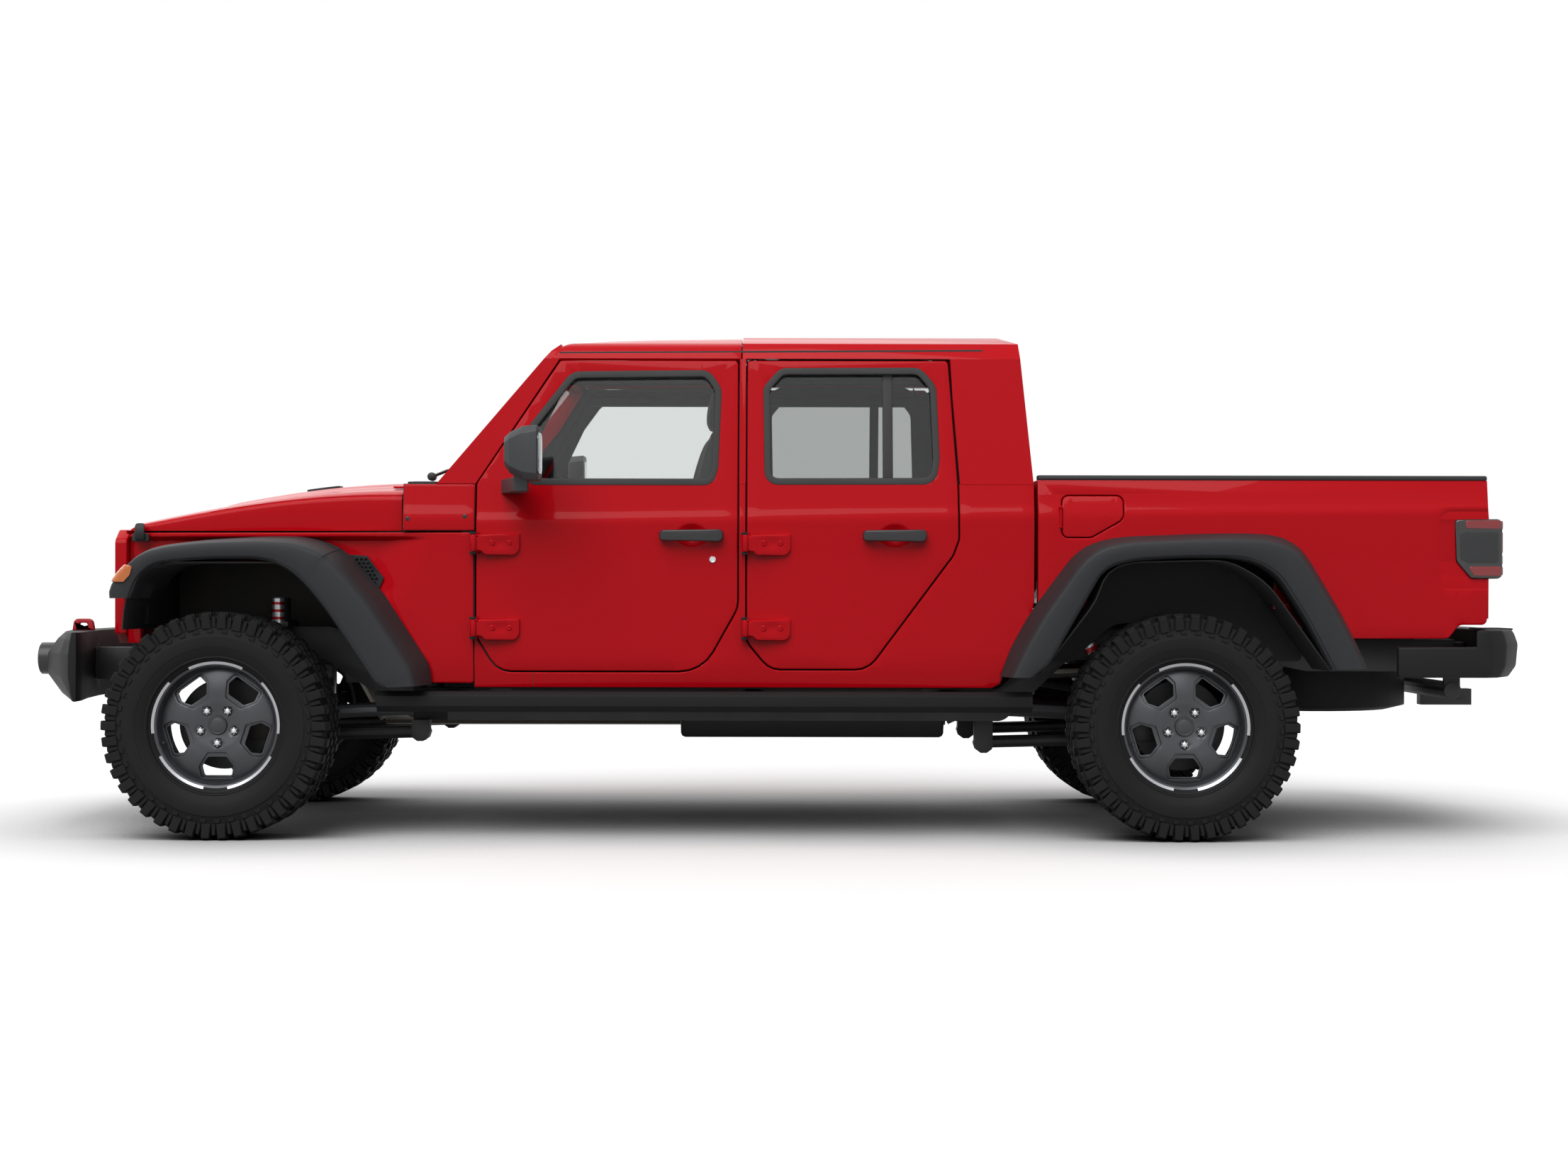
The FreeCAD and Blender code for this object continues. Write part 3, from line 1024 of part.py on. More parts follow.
hood_run = size.hood_rear_x - size.hood_front_x
HOOD_SHARES = (0, 0.06, 0.2, 0.45, 0.75, 1)
hood_outside = skinned("hood_outside", [
    hood_section(size.hood_front_x + hood_run * share, share, 0) for share in HOOD_SHARES])
hood_inside = skinned("hood_inside", [
    hood_section(size.hood_front_x + size.hood_skin + (hood_run - 2 * size.hood_skin) * share,
                 share, size.hood_skin)
    for share in HOOD_SHARES])
hinge_x, hinge_z = size.hood_hinge_x, size.hood_hinge_z
hood_leaf = side_plate("hood_leaf", -size.hood_hinge_y - 30, 60, [
    (hinge_x - 50, hinge_z - 26), (hinge_x - 6, hinge_z - 26), (hinge_x - 2, hinge_z - 5),
    (hinge_x - 2, hinge_z + 4), (hinge_x - 50, hinge_z - 8)])
hood_barrel = rod("hood_barrel", (hinge_x, -size.hood_hinge_y - 30, hinge_z),
                  (hinge_x, -size.hood_hinge_y + 30, hinge_z),
                  "hood_pin_radius + 2.5")
hood_bore = rod("hood_bore", (hinge_x, -size.hood_hinge_y - 31, hinge_z),
                (hinge_x, -size.hood_hinge_y + 31, hinge_z),
                "hood_pin_radius + pin_play")
hood_hinge = cut("hood_hinge", fused("hood_hinge_solid", hood_leaf, hood_barrel), hood_bore)
node("hood", fused("hood_solid", cut("hood_shell", hood_outside, hood_inside), *both(hood_hinge)))

# Grille panel with its slots and lamp holes, lamps, and the front fenders behind the flares.
slots = []
slot_half, slot_rise = size.grille_slot_half, size.grille_slot_height / 2
for i in range(int(size.grille_slots)):
    z = size.lamp_z + (i - (size.grille_slots - 1) / 2) * size.grille_slot_pitch
    slots.append([(-slot_half, z), (slot_rise - slot_half, z - slot_rise),
                  (slot_half - slot_rise, z - slot_rise), (slot_half, z),
                  (slot_half - slot_rise, z + slot_rise), (slot_rise - slot_half, z + slot_rise)])
lamp_holes = [round_loop(sign * size.lamp_y, size.lamp_z, size.lamp_radius + size.seat_gap)
              for sign in (-1, 1)]
grille_panel = cross_plate("grille_panel", size.grille_x, "grille_thickness", [
    (-size.grille_half_width, size.grille_low_z + 40), (-size.grille_half_width + 60, size.grille_low_z),
    (size.grille_half_width - 60, size.grille_low_z), (size.grille_half_width, size.grille_low_z + 40),
    (size.grille_half_width, size.grille_top_z - 40, 30),
    (size.grille_half_width - 60, size.grille_top_z, 30),
    (-size.grille_half_width + 60, size.grille_top_z, 30),
    (-size.grille_half_width, size.grille_top_z - 40, 30)],
    *slots, *lamp_holes)
node("grille", grille_panel)
lens = cross_plate("lamp_lens", size.grille_x - 8, "grille_thickness + 4",
                   round_loop(-size.lamp_y, size.lamp_z, size.lamp_radius))
marker = side_plate("marker", -size.flare_y - 3, 3 - size.seat_gap, [
    (-290, 985), (-340, 938), (-372, 893), (-322, 893)])
node("front_lamps", *both(lens), *both(marker))

fender_front_x = size.grille_x + size.grille_thickness + size.seat_gap
FENDER_LINE = [(fender_front_x, -size.grille_half_width), (-200, -668), (200, -712),
               (size.hood_rear_x, -size.crease_y + 12), (size.fender_rear_x, -size.crease_y)]
fender_plan = FENDER_LINE + [(x, y + size.fender_wall) for x, y in reversed(FENDER_LINE)]
fender_top_z = size.hood_low_z - size.seam
fender_block = plan_plate("fender_block", size.grille_low_z, fender_top_z - size.grille_low_z, fender_plan)
arch_hole = side_plate("arch_hole", -REACH, REACH, [
    (-336, 600), (-336, 858), (-270, 990), (-200, 1008), (250, 1008), (330, 940), (440, 800), (560, 600)])
arch_rear_x = 590
arch_rear_y = -712 - (size.crease_y - 12 - 712) * (arch_rear_x - 200) / (size.hood_rear_x - 200)
REAR_LINE = [(arch_rear_x, arch_rear_y)] + FENDER_LINE[-2:]
rear_fender = plan_plate("rear_fender", size.sill_z + 20, fender_top_z - size.sill_z - 20,
                         REAR_LINE + [(x, y + size.fender_wall) for x, y in reversed(REAR_LINE)])
radiator = block("radiator_core", fender_front_x + 10, -600, 770, 60, 1200, 320)
fender = fused("fender", cut("fender_front", fender_block, arch_hole), rear_fender)
node("front_fenders", fused("front_fenders_solid", *both(fender), radiator))


# Flares: a band round each wheel opening, its outer top edge sloped in.
def flare(name, band, drop):
    """A flare from its side outline; drop lists the corners of the top edge that the slope lowers."""
    shoulder_y = size.flare_edge - size.flare_y
    sloped = [(x, z - (size.flare_edge * 0.9 if i in drop else 0)) for i, (x, z) in enumerate(band)]
    return skinned(name, [
        [V(x, -size.flare_seat_y + size.flare_sink, z) for x, z in band],
        [V(x, shoulder_y, z) for x, z in band],
        [V(x, -size.flare_y, z) for x, z in sloped],
    ])


FRONT_FLARE = [
    (-404, 863), (-409, 904), (-376, 955), (-291, 1039), (-214, 1067), (-76, 1085), (162, 1097), (292, 1094),
    (388, 1069), (447, 1037), (584, 885), (752, 627), (762, 552), (603, 547),
    (574, 560), (401, 821), (317, 925), (246, 984), (162, 1010), (-31, 1010), (-214, 994),
    (-252, 975), (-295, 862),
]
REAR_FLARE = [
    (2827, 585), (2868, 694), (2939, 822), (3101, 1040), (3179, 1082), (3276, 1098), (3579, 1110),
    (3754, 1111), (3833, 1103), (3897, 1077), (3942, 1031), (4066, 824), (4170, 620), (4003, 615),
    (3910, 801), (3812, 953), (3735, 1002), (3645, 1019), (3469, 1019), (3294, 1008), (3192, 979),
    (2995, 631), (2939, 585),
]


front_seat_plan = [(x, y - size.seat_gap) for x, y in FENDER_LINE]
front_seat_plan = [(-500, front_seat_plan[0][1])] + front_seat_plan + [(size.fender_rear_x, 0), (-500, 0)]
front_flare = cut("front_flare", flare("front_flare_band", FRONT_FLARE, range(2, 12)),
                  plan_plate("front_flare_seat", 500, 700, front_seat_plan))
rear_flare = cut("rear_flare", flare("rear_flare_band", REAR_FLARE, range(1, 12)),
                 cross_plate("rear_flare_seat", 2700, 1600, body_ring(-size.seat_gap)))
node("front_flares", *both(front_flare))
node("rear_flares", *both(rear_flare))

# Bed: walls, floor, wheelhouses and headboard as one open box; the tailgate closes its rear.
bed_front, bed_rear = size.bed_front_x, size.bed_rear_x
bed_outer = [
    (-size.door_low_y - 2.5, size.bed_low_z + 20), (-size.crease_y, size.crease_low_z),
    (-size.crease_top_y, size.crease_top_z), (-size.belt_y, size.bed_rail_z),
    (-size.bed_inner_y, size.bed_rail_z), (-size.bed_inner_y, size.bed_low_z + 20)]
bed_side = cross_plate("bed_side", bed_front, "bed_rear_x - bed_front_x", bed_outer)
arch_cut = side_plate("bed_arch", -REACH, REACH, [
    (2950, 600), (3176, 992), (3284, 1030), (3656, 1030), (3832, 966), (4040, 600)])
fuel_outline = [
    (size.fuel_front_x, size.fuel_low_z, 12), (size.fuel_front_x + 105, size.fuel_low_z, 16),
    (size.fuel_rear_x, size.fuel_low_z + 66, 12), (size.fuel_rear_x, size.fuel_top_z, 14),
    (size.fuel_front_x, size.fuel_top_z, 14)]
fuel_room = side_plate("fuel_room", -REACH, REACH - size.crease_y + size.fuel_pocket,
                       grown(fuel_outline, size.seam))
tailgate_room = block("gate_room", bed_rear - size.gate_thickness - 6, -size.gate_y - size.seam,
                      size.gate_low_z - 8, 200, 2 * (size.gate_y + size.seam), 700)
LAMP = [(4490, 1008, 10), (4485, 1161, 14), (4656, 1161, 14), (4656, 949, 14), (4542, 949, 20)]
lamp_depth = size.crease_y + 6 - size.bed_inner_y - 12
lamp = side_plate("tail_lamp", -size.crease_y - 6, lamp_depth, LAMP)
lamp_room = side_plate("lamp_room", -size.crease_y - 7, lamp_depth + 1 + size.seat_gap,
                       grown(LAMP, size.seat_gap))
left_side = cut("bed_left", bed_side, arch_cut, fuel_room, lamp_room)
right_side = cut("bed_right", mirrored(bed_side), mirrored(arch_cut), mirrored(lamp_room))
bed_floor = block("bed_floor", bed_front, -size.bed_inner_y, size.bed_floor_z - size.bed_floor_thickness,
                  bed_rear - size.gate_thickness - 8 - bed_front, 2 * size.bed_inner_y, "bed_floor_thickness")
headboard = block("headboard", bed_front, -size.bed_inner_y, size.bed_floor_z, "bed_front_wall",
                  2 * size.bed_inner_y,
                  "bed_rail_z - bed_floor_z")
house = block("wheelhouse", size.wheelhouse_front_x, -size.bed_inner_y, size.bed_floor_z,
              "wheelhouse_rear_x - wheelhouse_front_x", "bed_inner_y - wheelhouse_y",
              "wheelhouse_z - bed_floor_z")
house_room = block("wheelhouse_room", size.wheelhouse_front_x + 14, -size.bed_inner_y - 1,
                   size.bed_floor_z - 60, "wheelhouse_rear_x - wheelhouse_front_x - 28",
                   "bed_inner_y - wheelhouse_y - 13",
                   size.wheelhouse_z - 14 - size.bed_floor_z + 60)
sill = block("bed_sill", bed_rear - size.gate_thickness - 68, -size.bed_inner_y, size.bed_low_z, 101,
             2 * size.bed_inner_y, size.gate_low_z - 8 - size.bed_low_z)
gate_hinge_x, gate_hinge_z = size.gate_hinge_x, size.gate_hinge_z
gate_ears = [block(f"gate_ear_{i}", gate_hinge_x - 38, -size.gate_barrel_y + offset, gate_hinge_z - 14,
                   46, 8, 20)
             for i, offset in enumerate((-40, 32))]
gate_pin = rod("gate_pin", (gate_hinge_x, -size.gate_barrel_y - 38, gate_hinge_z),
               (gate_hinge_x, -size.gate_barrel_y + 38, gate_hinge_z), "gate_pin_radius")
fuel_ears = [block(f"fuel_ear_{i}", size.fuel_hinge_x - 6, -size.fuel_hinge_y - 6,
                   size.fuel_hinge_z + offset, 10, 27, 8)
             for i, offset in enumerate((-40, 32))]
fuel_pin = rod("fuel_pin", (size.fuel_hinge_x, -size.fuel_hinge_y, size.fuel_hinge_z - 36),
               (size.fuel_hinge_x, -size.fuel_hinge_y, size.fuel_hinge_z + 36), "fuel_pin_radius")
ears = [gate_pin, mirrored(gate_pin), fuel_pin, *fuel_ears]
for ear in gate_ears:
    ears += both(ear)
bed_box = cut("bed_box", fused("bed_all", left_side, right_side, bed_floor, headboard, sill, *both(house)),
              *both(house_room), tailgate_room)
node("bed", fused("bed_solid", bed_box, *ears))
cap = cross_plate("rail_cap", bed_front, "bed_rear_x - bed_front_x", [
    (-size.belt_y - 4, size.bed_rail_z), (-size.belt_y - 4, size.bed_rail_z + size.cap_thickness - 6),
    (-size.belt_y + 4, size.bed_rail_z + size.cap_thickness),
    (-size.bed_inner_y + 6, size.bed_rail_z + size.cap_thickness),
    (-size.bed_inner_y + 6, size.bed_rail_z)])
node("bed_rail_caps", *both(cap))
gate_x = bed_rear - size.gate_thickness - 1
gate = side_plate("gate_panel", -size.gate_y, "2 * gate_y", [
    (gate_x, size.gate_low_z), (gate_x + size.gate_thickness, size.gate_low_z),
    (gate_x + size.gate_thickness, 1160), (gate_x + size.gate_thickness - 8, 1180),
    (gate_x + size.gate_thickness - 8, size.bed_rail_z), (gate_x, size.bed_rail_z)])
gate_hinge = fused("gate_hinge", rod("gate_barrel", (gate_hinge_x, -size.gate_barrel_y - 30, gate_hinge_z),
                                     (gate_hinge_x, -size.gate_barrel_y + 30, gate_hinge_z), 9),
                   block("gate_leaf", gate_hinge_x - 16, -size.gate_barrel_y - 30, gate_hinge_z - 2,
                         12, 60, 22))
gate_bore = rod("gate_bore", (gate_hinge_x, -size.gate_barrel_y - 31, gate_hinge_z),
                (gate_hinge_x, -size.gate_barrel_y + 31, gate_hinge_z), "gate_pin_radius + pin_play")
node("tailgate", cut("tailgate_solid", fused("tailgate_all", gate, *both(gate_hinge)), *both(gate_bore)))
fuel_lid = common("fuel_lid", side_plate("fuel_slab", -REACH, REACH - 400, fuel_outline), body_layer(
    "fuel_layer", 0, size.fuel_lid, bed_front, bed_rear))
fuel_at = (size.fuel_hinge_x, -size.fuel_hinge_y)
fuel_barrel = rod("fuel_barrel", (*fuel_at, size.fuel_hinge_z - 30), (*fuel_at, size.fuel_hinge_z + 30), 5)
fuel_leaf = block("fuel_leaf", size.fuel_hinge_x, -size.fuel_hinge_y - 3, size.fuel_hinge_z - 30, 14, 14, 60)
fuel_bore = rod("fuel_bore", (*fuel_at, size.fuel_hinge_z - 31), (*fuel_at, size.fuel_hinge_z + 31),
                "fuel_pin_radius + pin_play")
fuel_hinge = cut("fuel_hinge", fused("fuel_hinge_solid", fuel_barrel, fuel_leaf), fuel_bore)
node("fuel_door", fused("fuel_door_solid", fuel_lid, fuel_hinge))
node("tail_lamps", *both(lamp))

# Inside the cab: dashboard with the steering wheel, seats and roll bar.
dash_x = size.firewall_x + 22 + size.seat_gap
dash = side_plate("dash_body", -690, 1380, [
    (dash_x, 960), (1000, 930), (1130, 980), (1160, 1120), (1110, 1215), (dash_x, 1225)])
wheel_x, wheel_z = 1330, 1120
tilt = math.radians(25)


def wheel_disc(name, radius, thickness):
    """A disc in the steering wheel's plane, centred on it."""
    dx, dz = math.cos(tilt) * thickness / 2, math.sin(tilt) * thickness / 2
    return bar(name, (wheel_x - dx, -size.seat_y, wheel_z - dz), (wheel_x + dx, -size.seat_y, wheel_z + dz),
               radius, 20)


steering_ring = cut("steering_ring", wheel_disc("ring_outer", 190, 24), wheel_disc("ring_inner", 166, 26))
steering_hub = wheel_disc("steering_hub", 62, 30)
spoke = block("steering_spoke", wheel_x - 8, -size.seat_y - 178, wheel_z - 16, 16, 356, 32)
column = bar("steering_column", (1120, -size.seat_y, wheel_z - 98), (wheel_x, -size.seat_y, wheel_z), 24)
node("dashboard", fused("dashboard_solid", dash, steering_ring, steering_hub, column, spoke))


def seat(name, x, y, width):
    base = side_plate(name + "_cushion", y - width / 2, width, [
        (x, size.seat_floor_z, 20), (x + 520, size.seat_floor_z, 20), (x + 500, size.seat_top_z - 30, 30),
        (x - 30, size.seat_top_z + 10, 60)])
    back_rest = side_plate(name + "_back", y - width / 2, width, [
        (x + 400, size.seat_top_z - 80, 40), (x + 545, size.seat_top_z - 80, 40),
        (x + 690, size.seat_back_z, 40),
        (x + 580, size.seat_back_z + 10, 40)])
    head = block(name + "_head", x + 600, y - 130, size.seat_back_z + 20, 90, 260, 150)
    stem = block(name + "_stem", x + 630, y - 60, size.seat_back_z - 30, 20, 120, 60)
    stand = block(name + "_stand", x + 60, y - width / 2 + 70, floor_top_z + size.seat_gap, 380, width - 140,
                  size.seat_floor_z - floor_top_z + 10)
    return fused(name, base, back_rest, head, stem, stand)


node("seats", *both(seat("front_seat", size.front_seat_x, -size.seat_y, size.seat_width)),
     seat("rear_seat", size.rear_seat_x, 0, size.rear_seat_width))
hoop_x = 1890
foot_z = floor_top_z + 2.4
hoop = fused("roll_hoop",
             *both(bar("hoop_leg", (hoop_x, -640, foot_z), (hoop_x, -560, 1700), 28)),
             bar("hoop_top", (hoop_x, -580, 1690), (hoop_x, 580, 1690), 28),
             *both(bar("side_bar", (1240, -560, 1690), (2790, -560, 1690), 24)),
             *both(bar("rear_leg", (2780, -560, 1700), (2840, -620, shelf_z + 23.3), 24)))
node("roll_bar", hoop)

# Every object must have been built, and every piece must be a valid solid, before anything is written.
doc.recompute()
for item in doc.Objects:
    if {"Invalid", "Error"} & set(item.State):
        raise RuntimeError(f"{item.Name} was not built")
for item in NODES:
    shape = item.Shape
    if shape.isNull() or not shape.isValid() or not shape.Solids:
        raise RuntimeError(f"{item.Label} is not a valid solid")
os.makedirs("parts", exist_ok=True)
for item in NODES:
    item.Shape.exportStep(os.path.join("parts", item.Label + ".step"))
print(len(NODES), "sub-parts written")
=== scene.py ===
# A double-cab off-road pickup in red, seen from its left side in a plain white studio.
# Lengths are metres. Stations are given behind the front axle, heights above the ground.
import json
import math
from bisect import bisect_left

import bmesh
import bpy
from mathutils import Matrix, Vector
from mathutils.bvhtree import BVHTree


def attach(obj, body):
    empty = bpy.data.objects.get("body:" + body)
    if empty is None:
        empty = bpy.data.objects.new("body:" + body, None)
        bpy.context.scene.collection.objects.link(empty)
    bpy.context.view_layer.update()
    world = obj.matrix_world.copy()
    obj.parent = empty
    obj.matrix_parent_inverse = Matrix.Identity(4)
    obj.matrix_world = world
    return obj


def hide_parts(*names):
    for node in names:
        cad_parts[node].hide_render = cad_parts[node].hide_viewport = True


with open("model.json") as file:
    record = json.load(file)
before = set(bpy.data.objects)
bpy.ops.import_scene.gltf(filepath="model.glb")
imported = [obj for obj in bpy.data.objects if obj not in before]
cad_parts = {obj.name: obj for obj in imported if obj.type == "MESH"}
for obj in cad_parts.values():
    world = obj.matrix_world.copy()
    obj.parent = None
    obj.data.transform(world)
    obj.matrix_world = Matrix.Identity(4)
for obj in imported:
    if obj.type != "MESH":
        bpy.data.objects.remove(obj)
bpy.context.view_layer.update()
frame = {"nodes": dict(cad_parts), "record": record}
wheel_centre = {j["child"]: Vector(j["pos_m"]) for j in frame["record"]["behaviour"]["joints"]
    if j["name"].endswith("_spin")}
axle_x = wheel_centre["wheel_fl"].x


# Studio: a white floor and a white background, with a grey bounce so that the sills stay dark.
# One large soft sun stands high on the camera's side, and the sky fills the rest.
def colour(hexed):
    """A linear colour from its sRGB hex value."""
    parts = [int(hexed[i:i + 2], 16) / 255 for i in (1, 3, 5)]
    return [c / 12.92 if c <= 0.04045 else ((c + 0.055) / 1.055) ** 2.4 for c in parts] + [1]


def add(tree, kind, links=(), **settings):
    """Add a shader node; links maps input sockets to values or to other nodes' outputs."""
    item = tree.nodes.new(kind)
    for key, value in settings.items():
        setattr(item, key, value)
    for socket, value in dict(links).items():
        if isinstance(value, bpy.types.NodeSocket):
            tree.links.new(value, item.inputs[socket])
        else:
            item.inputs[socket].default_value = value
    return item


scene = bpy.context.scene
scene.view_settings.view_transform = "Standard"
world = bpy.data.worlds.new("studio_sky")
scene.world = world
world.use_nodes = True
tree = world.node_tree
tree.nodes.clear()
path = add(tree, "ShaderNodeLightPath")
seen = add(tree, "ShaderNodeMath", {0: path.outputs["Is Camera Ray"], 1: path.outputs["Is Glossy Ray"]},
    operation="ADD")
seen = add(tree, "ShaderNodeMath", {0: seen.outputs[0], 1: path.outputs["Is Transmission Ray"]}, operation="ADD",
    use_clamp=True)
SKY_FILL = 0.5
level = add(tree, "ShaderNodeMapRange", {"Value": seen.outputs[0], "To Min": SKY_FILL, "To Max": 1.0})
sky = add(tree, "ShaderNodeBackground", {"Color": colour("#FFFFFF"), "Strength": level.outputs[0]})
add(tree, "ShaderNodeOutputWorld", {"Surface": sky.outputs[0]})
for name, strength, softness, turn in (("key_sun", 2.0, 50, (40, 0, -18)), ("rim_sun", 0.5, 60, (-50, 0, 20))):
    lamp = bpy.data.lights.new(name, "SUN")
    lamp.energy = strength
    lamp.angle = math.radians(softness)
    holder = bpy.data.objects.new(name, lamp)
    holder.rotation_euler = [math.radians(a) for a in turn]
    scene.collection.objects.link(holder)
floor_mesh = bmesh.new()
bmesh.ops.create_grid(floor_mesh, x_segments=1, y_segments=1, size=60)
floor_data = bpy.data.meshes.new("floor")
floor_mesh.to_mesh(floor_data)
floor = bpy.data.objects.new("floor", floor_data)
scene.collection.objects.link(floor)
studio_floor = bpy.data.materials.new("studio_floor")
studio_floor.use_nodes = True
tree = studio_floor.node_tree
tree.nodes.clear()
path = add(tree, "ShaderNodeLightPath")
shade = add(tree, "ShaderNodeMixRGB", {"Fac": path.outputs["Is Diffuse Ray"], "Color1": colour("#FFFFFF"),
    "Color2": colour("#585858")})
# The floor's colour is darkened by ambient occlusion under and around the car: a painted contact shadow.
painted_contact_shadow = add(tree, "ShaderNodeAmbientOcclusion", {"Color": shade.outputs[0], "Distance": 0.85}, samples=8)
card = add(tree, "ShaderNodeBsdfDiffuse", {"Color": painted_contact_shadow.outputs["Color"]})
add(tree, "ShaderNodeOutputMaterial", {"Surface": card.outputs[0]})
floor.data.materials.append(studio_floor)
CAMERA_SPOT = (0.0525, -9.815, 0.909)
IMAGE_WIDTH, FOCAL_PIXELS = 2212, 3498
CAMERA_ROLL = 0.00183
view = bpy.data.cameras.new("side_camera")
view.sensor_fit = "HORIZONTAL"
view.sensor_width = 36
view.lens = 36 * FOCAL_PIXELS / IMAGE_WIDTH
view.clip_end = 200
camera = bpy.data.objects.new("side_camera", view)
camera.location = CAMERA_SPOT
camera.rotation_euler = (math.pi / 2, 0, 0)
camera.rotation_euler.rotate_axis("Z", CAMERA_ROLL)
scene.collection.objects.link(camera)
scene.camera = camera

# Tyres: mud-terrain rubber, vulcanised in a steel mould, so matt with a faint sheen.
# One pitch of blocks is modelled and spun round 42 times over a turned carcass.
slot_of = {}


def finish(name, slot, hexed, roughness, metallic=0.0, **sockets):
    """A new material, the record's slot that it is for, and its shader's settings with _ for each space."""
    made = bpy.data.materials.new(name)
    made.use_nodes = True
    shader = made.node_tree.nodes["Principled BSDF"]
    for socket, value in {"Base_Color": colour(hexed), "Roughness": roughness, "Metallic": metallic,
            **sockets}.items():
        shader.inputs[socket.replace("_", " ")].default_value = value
    slot_of[made.name] = slot
    return made


def grained(name, slot, light, dark, roughness, grain, depth, metallic=0.0, patch=0.15, rough=None, **sockets):
    """A finish with its grain in metres: small bumps, and patches between two colours."""
    made = finish(name, slot, light, roughness, metallic, **sockets)
    tree = made.node_tree
    shader = tree.nodes["Principled BSDF"]
    place = add(tree, "ShaderNodeTexCoord").outputs["Object"]
    fine = add(tree, "ShaderNodeTexNoise", {"Vector": place, "Scale": 1 / grain, "Detail": 3.0})
    broad = add(tree, "ShaderNodeTexNoise", {"Vector": place, "Scale": 1 / patch, "Detail": 4.0})
    mixed = add(tree, "ShaderNodeMixRGB", {"Fac": broad.outputs["Fac"], "Color1": colour(light),
        "Color2": colour(dark)})
    tree.links.new(mixed.outputs[0], shader.inputs["Base Color"])
    bumped(made, fine.outputs["Fac"], depth, 0.6)
    if rough:
        spread = add(tree, "ShaderNodeMapRange", {"Value": broad.outputs["Fac"], "To Min": rough[0],
            "To Max": rough[1]})
        tree.links.new(spread.outputs[0], shader.inputs["Roughness"])
    return made


def bumped(made, height, depth, strength):
    """Let a node's output raise and lower a material's surface by a depth."""
    tree = made.node_tree
    bump = add(tree, "ShaderNodeBump", {"Height": height, "Distance": depth, "Strength": strength})
    tree.links.new(bump.outputs[0], tree.nodes["Principled BSDF"].inputs["Normal"])


def piece(name, bm, made, *stands_for, body="chassis", slot=None, crease=35):
    """Turn a finished bmesh into a piece that rides on a body, smooth but for its sharp edges."""
    data = bpy.data.meshes.new(name)
    bm.to_mesh(data)
    bm.free()
    data.shade_smooth()
    data.set_sharp_from_angle(angle=math.radians(crease))
    item = bpy.data.objects.new(name, data)
    scene.collection.objects.link(item)
    layers = made if isinstance(made, list) else [made]
    for one in layers:
        data.materials.append(one)
    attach(item, body)
    slot or slot_of[layers[0].name]
    if stands_for:
        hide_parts(*stands_for)
    return item


def rotate(bm, verts, angle, axis, about=(0, 0, 0)):
    bmesh.ops.rotate(bm, verts=verts, cent=about, matrix=Matrix.Rotation(angle, 3, axis))


def move(bm, verts, way):
    bmesh.ops.translate(bm, verts=verts, vec=way)


def clamped(value):
    return min(1.0, max(0.0, value))


def vertices(made):
    """The vertices among the geometry that an operator made."""
    return [g for g in made if isinstance(g, bmesh.types.BMVert)]


def face_out(bm):
    bmesh.ops.recalc_face_normals(bm, faces=bm.faces)


def edges_of(verts):
    return list({e for v in verts for e in v.link_edges})


def bevelled(bm, edges, width, segments=2, clamp=False):
    """Round off edges over a width."""
    return bmesh.ops.bevel(bm, geom=edges, offset=width, segments=segments, profile=0.5, affect="EDGES", material=-1,
        clamp_overlap=clamp)


def spin(bm, geom, angle, steps, axis=(0, 1, 0), rise=0.0, **ways):
    """Sweep or copy geometry round an axis through the middle, rising by so much at each step."""
    bmesh.ops.spin(bm, geom=geom, cent=(0, 0, 0), axis=axis, dvec=(0, 0, rise), angle=angle, steps=steps,
        **{"use_merge": False, "use_duplicate": False, **ways})


def spun(profile, steps):
    """Turn a profile of (y, radius) points round the wheel's axis."""
    bm = bmesh.new()
    spots = [bm.verts.new((r, y, 0)) for y, r in profile]
    edges = [bm.edges.new(pair) for pair in zip(spots, spots[1:])]
    spin(bm, spots + edges, 2 * math.pi, steps, use_merge=True)
    bmesh.ops.remove_doubles(bm, verts=bm.verts, dist=1e-5)
    face_out(bm)
    return bm


def on_each_wheel(name, source, made, node=None, crease=35):
    """Place a copy of a left wheel's part on each wheel, turned about on the right side."""
    for wheel, centre in wheel_centre.items():
        corner = wheel[-2:]
        own = source.copy()
        if corner[1] == "r":
            rotate(own, own.verts, math.pi, "Z")
        move(own, own.verts, centre)
        piece(f"{name}_{corner}", own, made, *([f"{node}_{corner}"] if node else []), body=wheel, crease=crease)
    source.free()


def join(*parts):
    """Several bmeshes as one."""
    for other in parts[1:]:
        data = bpy.data.meshes.new("joined")
        other.to_mesh(data)
        other.free()
        parts[0].from_mesh(data)
        bpy.data.meshes.remove(data)
    return parts[0]


BLOCK_EDGE = 0.0025


def lug(bm, low, high, long, taper, turn=0.0, lean=0.0):
    """A tread block between two (y, radius) corners, narrowed towards its top and bevelled."""
    made = bmesh.ops.create_cube(bm, size=1.0)["verts"]
    middle_y = (low[0] + high[0]) / 2
    middle_r = (low[1] + high[1]) / 2
    for v in made:
        narrow = 1 - taper * (v.co.x + 0.5)
        v.co = Vector((middle_r + v.co.x * (high[1] - low[1]), v.co.y * (high[0] - low[0]) * narrow,
            v.co.z * long * narrow))
    rotate(bm, made, turn, "X", (middle_r, 0, 0))
    rotate(bm, made, lean, "Z", (low[1], 0, 0))
    move(bm, made, (0, middle_y, 0))
    out = bevelled(bm, edges_of(made), BLOCK_EDGE, 1)
    return list({v for f in out["faces"] for v in f.verts} | {v for v in made if v.is_valid})


